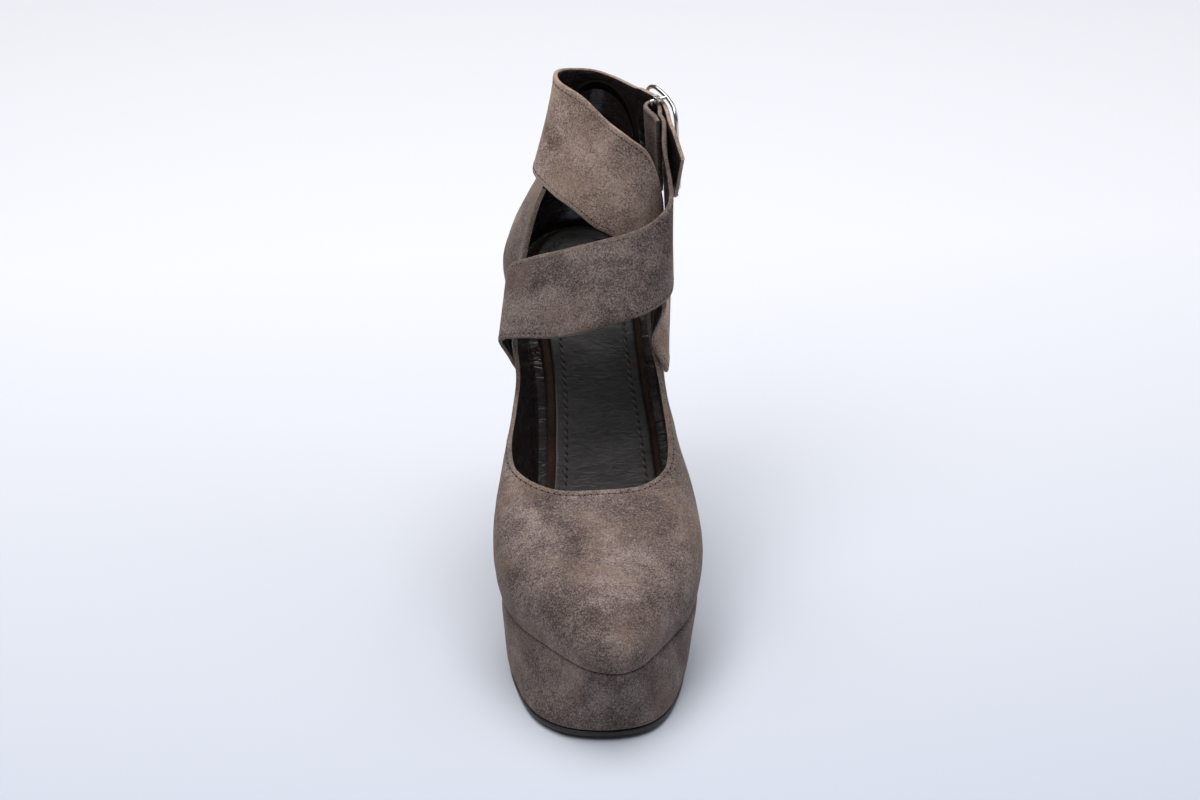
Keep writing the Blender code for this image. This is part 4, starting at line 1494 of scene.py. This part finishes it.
@dataclass
class Straps:
    """Both straps: where they are sewn on, how they cross, and how the buckle holds them."""

    last: Last
    buckle: Buckle
    sewn_slack: float = 0.32
    tail_tip: tuple[float, float] = (31.3 * MM, 12.9 * MM)
    tail_heel: float = 17.0 * MM
    tail_bend: float = math.radians(2.5)
    holes: tuple[float, float, float] = (8.6 * MM, 15.5 * MM, 22.0 * MM)
    hole_half: tuple[float, float, float] = (1.15 * MM, 1.15 * MM, 0.18 * MM)
    lower_sewn: Rows = field(default_factory=lambda: table(
        "low_section low_height high_section high_height",
        (-9.25, 0.06, -10.50, 0.04), (-8.95, 0.50, -10.20, 0.22), (-8.60, 0.97, -9.80, 0.62)))
    upper_sewn: Rows = field(default_factory=lambda: table(
        "low_section low_height high_section high_height",
        (9.40, 0.06, 10.90, 0.04), (9.05, 0.42, 10.80, 0.20), (8.50, 0.72, 10.55, 0.42)))
    lower: Rows = field(default_factory=lambda: table(
        "low_across low_along low_lift high_across high_along high_lift",
        (-0.868, 0.598, 0.660, -0.745, 0.690, 0.690),
        (-0.690, 0.564, 0.810, -0.560, 0.656, 0.884),
        (-0.405, 0.528, 0.942, -0.252, 0.618, 1.074),
        (-0.173, 0.505, 1.041, -0.055, 0.599, 1.176),
        (0.050, 0.495, 1.105, 0.190, 0.590, 1.241),
        (0.339, 0.505, 1.112, 0.400, 0.592, 1.262),
        (0.540, 0.530, 1.060, 0.610, 0.606, 1.262),
        (0.720, 0.571, 0.965, 0.770, 0.630, 1.262),
        (0.795, 0.622, 0.830, 0.785, 0.665, 1.250),
        (0.805, 0.685, 0.720, 0.750, 0.705, 1.270)))
    upper: Rows = field(default_factory=lambda: table(
        "low_across low_along low_lift high_across high_along high_lift",
        (0.725, 0.5825, 0.533, 0.761, 0.717, 0.538),
        (0.607, 0.592, 0.646, 0.727, 0.7005, 0.722),
        (0.716, 0.601, 0.805, 0.727, 0.689, 0.882),
        (0.550, 0.6085, 0.938, 0.708, 0.676, 1.130),
        (0.248, 0.613, 1.135, 0.585, 0.655, 1.418),
        (0.045, 0.623, 1.170, 0.395, 0.655, 1.515),
        (-0.139, 0.646, 1.175, 0.195, 0.668, 1.557),
        (-0.330, 0.689, 1.100, -0.020, 0.705, 1.545),
        (-0.480, 0.745, 1.010, -0.215, 0.757, 1.440)))
    ankle: Rows = field(default_factory=lambda: table(
        "section low_lift high_lift slack",
        (-12.45, 0.670, 1.105, 0.35), (-13.30, 0.620, 1.065, 0.55), (-14.20, 0.580, 1.020, 0.40),
        (15.00, 0.555, 0.995, 0.30), (14.20, 0.540, 0.965, 0.60), (13.30, 0.535, 0.955, 0.90)))
    through: Rows = field(default_factory=lambda: table(
        "forward out",
        (-0.95, -0.10), (-0.45, 0.62), (0.00, 1.00), (0.50, 0.92), (1.00, 0.68)))

    def on_wall(self, section: float, height: float, slack: float) -> Vector:
        """Where a strap's middle lies on the upper's outer face.

        Args:
            section: signed section of the last.
            height: share of the wall's height.
            slack: looseness, in shares of the strap's thickness.

        Returns:
            The point.
        """
        thickness = self.buckle.strap_thickness
        off = self.last.gap + thickness / 2.0 + slack * thickness
        return self.last.wall_point(section, height) + self.last.wall_normal(section, height) * off

    def on_wall_at_lift(self, section: float, lift: float, slack: float) -> Vector:
        """Where a strap's middle lies on the quarter, at a height over the heel's seat.

        Args:
            section: signed section of the last.
            lift: height over the seat, in shares of the counter's height.
            slack: looseness, in shares of the strap's thickness.

        Returns:
            The point.
        """
        last = self.last
        target = last.footbed(last.wall_rows["top_along"][-1]) + lift * last.counter_height
        low, high = 0.0, 1.0
        for _ in range(30):
            middle = (low + high) / 2.0
            if last.wall_point(section, middle).z < target:
                low = middle
            else:
                high = middle
        point = self.on_wall(section, low, slack)
        point.z = target
        return point

    def sewn_end(self, rows: Rows) -> list[Edge]:
        """A strap's sewn end on the quarter.

        Args:
            rows: its table.

        Returns:
            Both edges at each row.
        """
        return [(self.on_wall(low_section, low_height, self.sewn_slack),
                 self.on_wall(high_section, high_height, self.sewn_slack))
                for low_section, low_height, high_section, high_height in zip(*rows.values())]

    def free(self, rows: Rows) -> list[Edge]:
        """A strap's free length: both edges at each row of its table."""
        return [(self.last.place(*values[:3]), self.last.place(*values[3:]))
                for values in zip(*rows.values())]

    def lower_rows(self) -> list[Edge]:
        """The lower strap: sewn inside, over the instep, round the buckle's bar.

        Returns:
            Both edges at each row, from the sewn end to the turned-back one.
        """
        buckle = self.buckle
        rows = self.sewn_end(self.lower_sewn) + self.free(self.lower)
        rest = buckle.strap_pitch / 2.0
        radius = buckle.loop_radius
        for forward, out in ((0.95, rest * 0.8), (0.55, rest), (0.22, radius * 0.9)):
            rows.append(buckle.edges(forward * buckle.half, out))
        for degrees in range(90, 271, 45):
            turn = math.radians(degrees)
            rows.append(buckle.edges(math.cos(turn) * radius, math.sin(turn) * radius))
        for forward, out in ((0.24, -radius * 0.85), (0.55, -rest), (0.85, -rest)):
            rows.append(buckle.edges(forward * buckle.half, out))
        return rows

    def upper_rows(self) -> list[Edge]:
        """The upper strap: sewn outside, over the instep, round the ankle, to its tail.

        Returns:
            Both edges at each row, from the sewn end to the tail's tip.
        """
        buckle = self.buckle
        rows = self.sewn_end(self.upper_sewn) + self.free(self.upper)
        for section, low, high, slack in zip(*self.ankle.values()):
            edges = [self.on_wall_at_lift(section, lift, slack) for lift in (low, high)]
            rows.append((edges[0], edges[1]))
        for forward, out in zip(*self.through.values()):
            rows.append(buckle.edges(forward * buckle.half, out * buckle.over_bar))
        last_out = self.through["out"][-1] * buckle.over_bar
        half = buckle.strap_width / 2.0
        tip_forward, tip_up = self.tail_tip
        for share in (0.4, 1.0):
            ends = []
            for forward, up, end_up in ((self.tail_heel, -half, -half), (tip_forward, half, tip_up)):
                beyond = (forward - buckle.half) * share
                height = up + (end_up - up) * share ** 1.6
                out = last_out - math.tan(self.tail_bend) * beyond
                ends.append(buckle.point(buckle.half + beyond, height, out))
            rows.append((ends[0], ends[1]))
        return rows

    def build(self) -> None:
        """Builds both straps, and the tail's holes."""
        # The lower strap: suede painted in shade.
        Strap("strap_lower_suede", "strap_lower", self.lower_rows(), 1.0, Finish.SUEDE_DARK).build()
        # The upper strap: suede painted lit.
        Strap("strap_upper_suede", "strap_upper", self.upper_rows(), -1.0, Finish.SUEDE_LIGHT).build()
        self.punch()

    def punch(self) -> None:
        """Builds the punched holes of the tail, as flat dark dots on its face: painted shade, for no hole is
        cut.
        """
        buckle = self.buckle
        over, half, tip = buckle.over_bar, buckle.half, self.tail_tip[0]
        tip_out = 0.68 * over - math.tan(self.tail_bend) * (tip - half)
        turn = Matrix((buckle.forward, buckle.up, buckle.out)).transposed().to_4x4()
        dot = Matrix.Diagonal((*self.hole_half, 1.0))
        bm = bmesh.new()
        for forward in (0.12 * half + 0.6 * MM, *self.holes):
            out = float(np.interp(forward, [0.0, 0.5 * half, half, tip],
                                  [over, 0.92 * over, 0.68 * over, tip_out]))
            spot = buckle.point(forward, 0.0, out + buckle.strap_thickness / 2.0)
            bmesh.ops.create_icosphere(bm, subdivisions=2, radius=1.0,
                                       matrix=Matrix.Translation(spot) @ turn @ dot)
        piece_of("tail_punched_holes", bm, (Finish.HOLE.dressed(),), "strap_suede", sharp_degrees=180.0)


# Floor, light and camera


@dataclass
class Studio:
    """A pale floor, soft light from the left and above, and the photo's view of one shoe."""

    last: Last
    turn: float = math.radians(5.0)
    down: float = math.radians(30.0)
    distance: float = 1.1
    lens: float = 78.4
    shift: tuple[float, float] = (0.0035, 0.0195)
    aim: tuple[float, float] = (0.100, 0.094)

    def lamp(self, name: str, place: Vector, size: float, watts: float, colour: str) -> None:
        """A square soft box that looks at the shoe.

        Args:
            name: plain name of the lamp.
            place: where it stands.
            size: its side.
            watts: its power.
            colour: sRGB hex colour of its light.
        """
        light = bpy.data.lights.new(name, "AREA")
        light.shape = "SQUARE"
        light.size = size
        light.energy = watts
        light.color = linear(colour)[:3]
        holder = bpy.data.objects.new(name, light)
        holder.location = place
        holder.rotation_euler = (Vector((0.0, 0.0, 0.08)) - place).to_track_quat("-Z", "Y").to_euler()
        bpy.context.scene.collection.objects.link(holder)

    def floor(self) -> None:
        """The pale floor: paper, with painted shade that makes it greyer and bluer in front of the shoe."""
        bm = bmesh.new()
        bmesh.ops.create_grid(bm, x_segments=1, y_segments=1, size=6.0)
        mesh = bpy.data.meshes.new("studio_floor")
        bm.to_mesh(mesh)
        bm.free()
        material, tree, shader = blank("sweep paper, matt")
        place = add(tree, "TexCoord").outputs["Object"]
        ahead = add(tree, "SeparateXYZ", Vector=place)
        share = add(tree, "MapRange", {"From Min": -0.25, "From Max": 0.35}, Value=ahead.outputs["Y"])
        # Painted shade: the paper goes greyer and bluer towards the front of the shoe.
        paper_painted_shade = ramp(tree, share.outputs["Result"], ((0.0, "#b7bfce"), (1.0, "#dfe2e9")))
        tree.links.new(paper_painted_shade, shader.inputs["Base Color"])
        shader.inputs["Roughness"].default_value = 0.6
        mesh.materials.append(material)
        floor = bpy.data.objects.new("studio_floor", mesh)
        bpy.context.scene.collection.objects.link(floor)

    def build(self) -> None:
        """Sets floor, light and camera."""
        self.floor()
        self.lamp("soft_box_left", Vector((-0.8, -0.6, 1.9)), 1.1, 14.0, "#fffaf5")
        self.lamp("soft_box_right", Vector((1.5, 0.0, 1.4)), 1.2, 4.0, "#fbfbff")
        self.lamp("soft_box_top", Vector((0.0, 0.35, 2.0)), 1.6, 46.0, "#fffdfb")
        world = bpy.data.worlds.new("studio")
        world.use_nodes = True
        back = world.node_tree.nodes["Background"]
        back.inputs["Color"].default_value = linear("#eef2fa")
        back.inputs["Strength"].default_value = 0.16
        bpy.context.scene.world = world
        bpy.context.scene.view_settings.view_transform = "Standard"
        look = Vector((math.sin(self.turn) * math.cos(self.down), math.cos(self.turn) * math.cos(self.down),
                       -math.sin(self.down)))
        target = self.last.zero + Vector((0.0, *self.aim))
        lens = bpy.data.cameras.new("photo_view")
        lens.lens = self.lens
        lens.sensor_width = 36.0
        lens.shift_x, lens.shift_y = self.shift
        camera = bpy.data.objects.new("photo_view", lens)
        camera.location = target - look * self.distance
        camera.rotation_euler = look.to_track_quat("-Z", "Y").to_euler()
        bpy.context.scene.collection.objects.link(camera)
        bpy.context.scene.camera = camera


def main() -> None:
    """Builds the shoe's sub-assemblies in order, then the studio."""
    logging.basicConfig(level=logging.INFO, format="%(name)s: %(message)s")
    last = Last()
    Upper(last).build()
    Platform(last).build()
    Outsole(last).build()
    Heel(last).build()
    Footbed(last).build()
    buckle = Buckle(last)
    buckle.build()
    Straps(last, buckle).build()
    Studio(last).build()


if __name__ == "__main__":
    main()
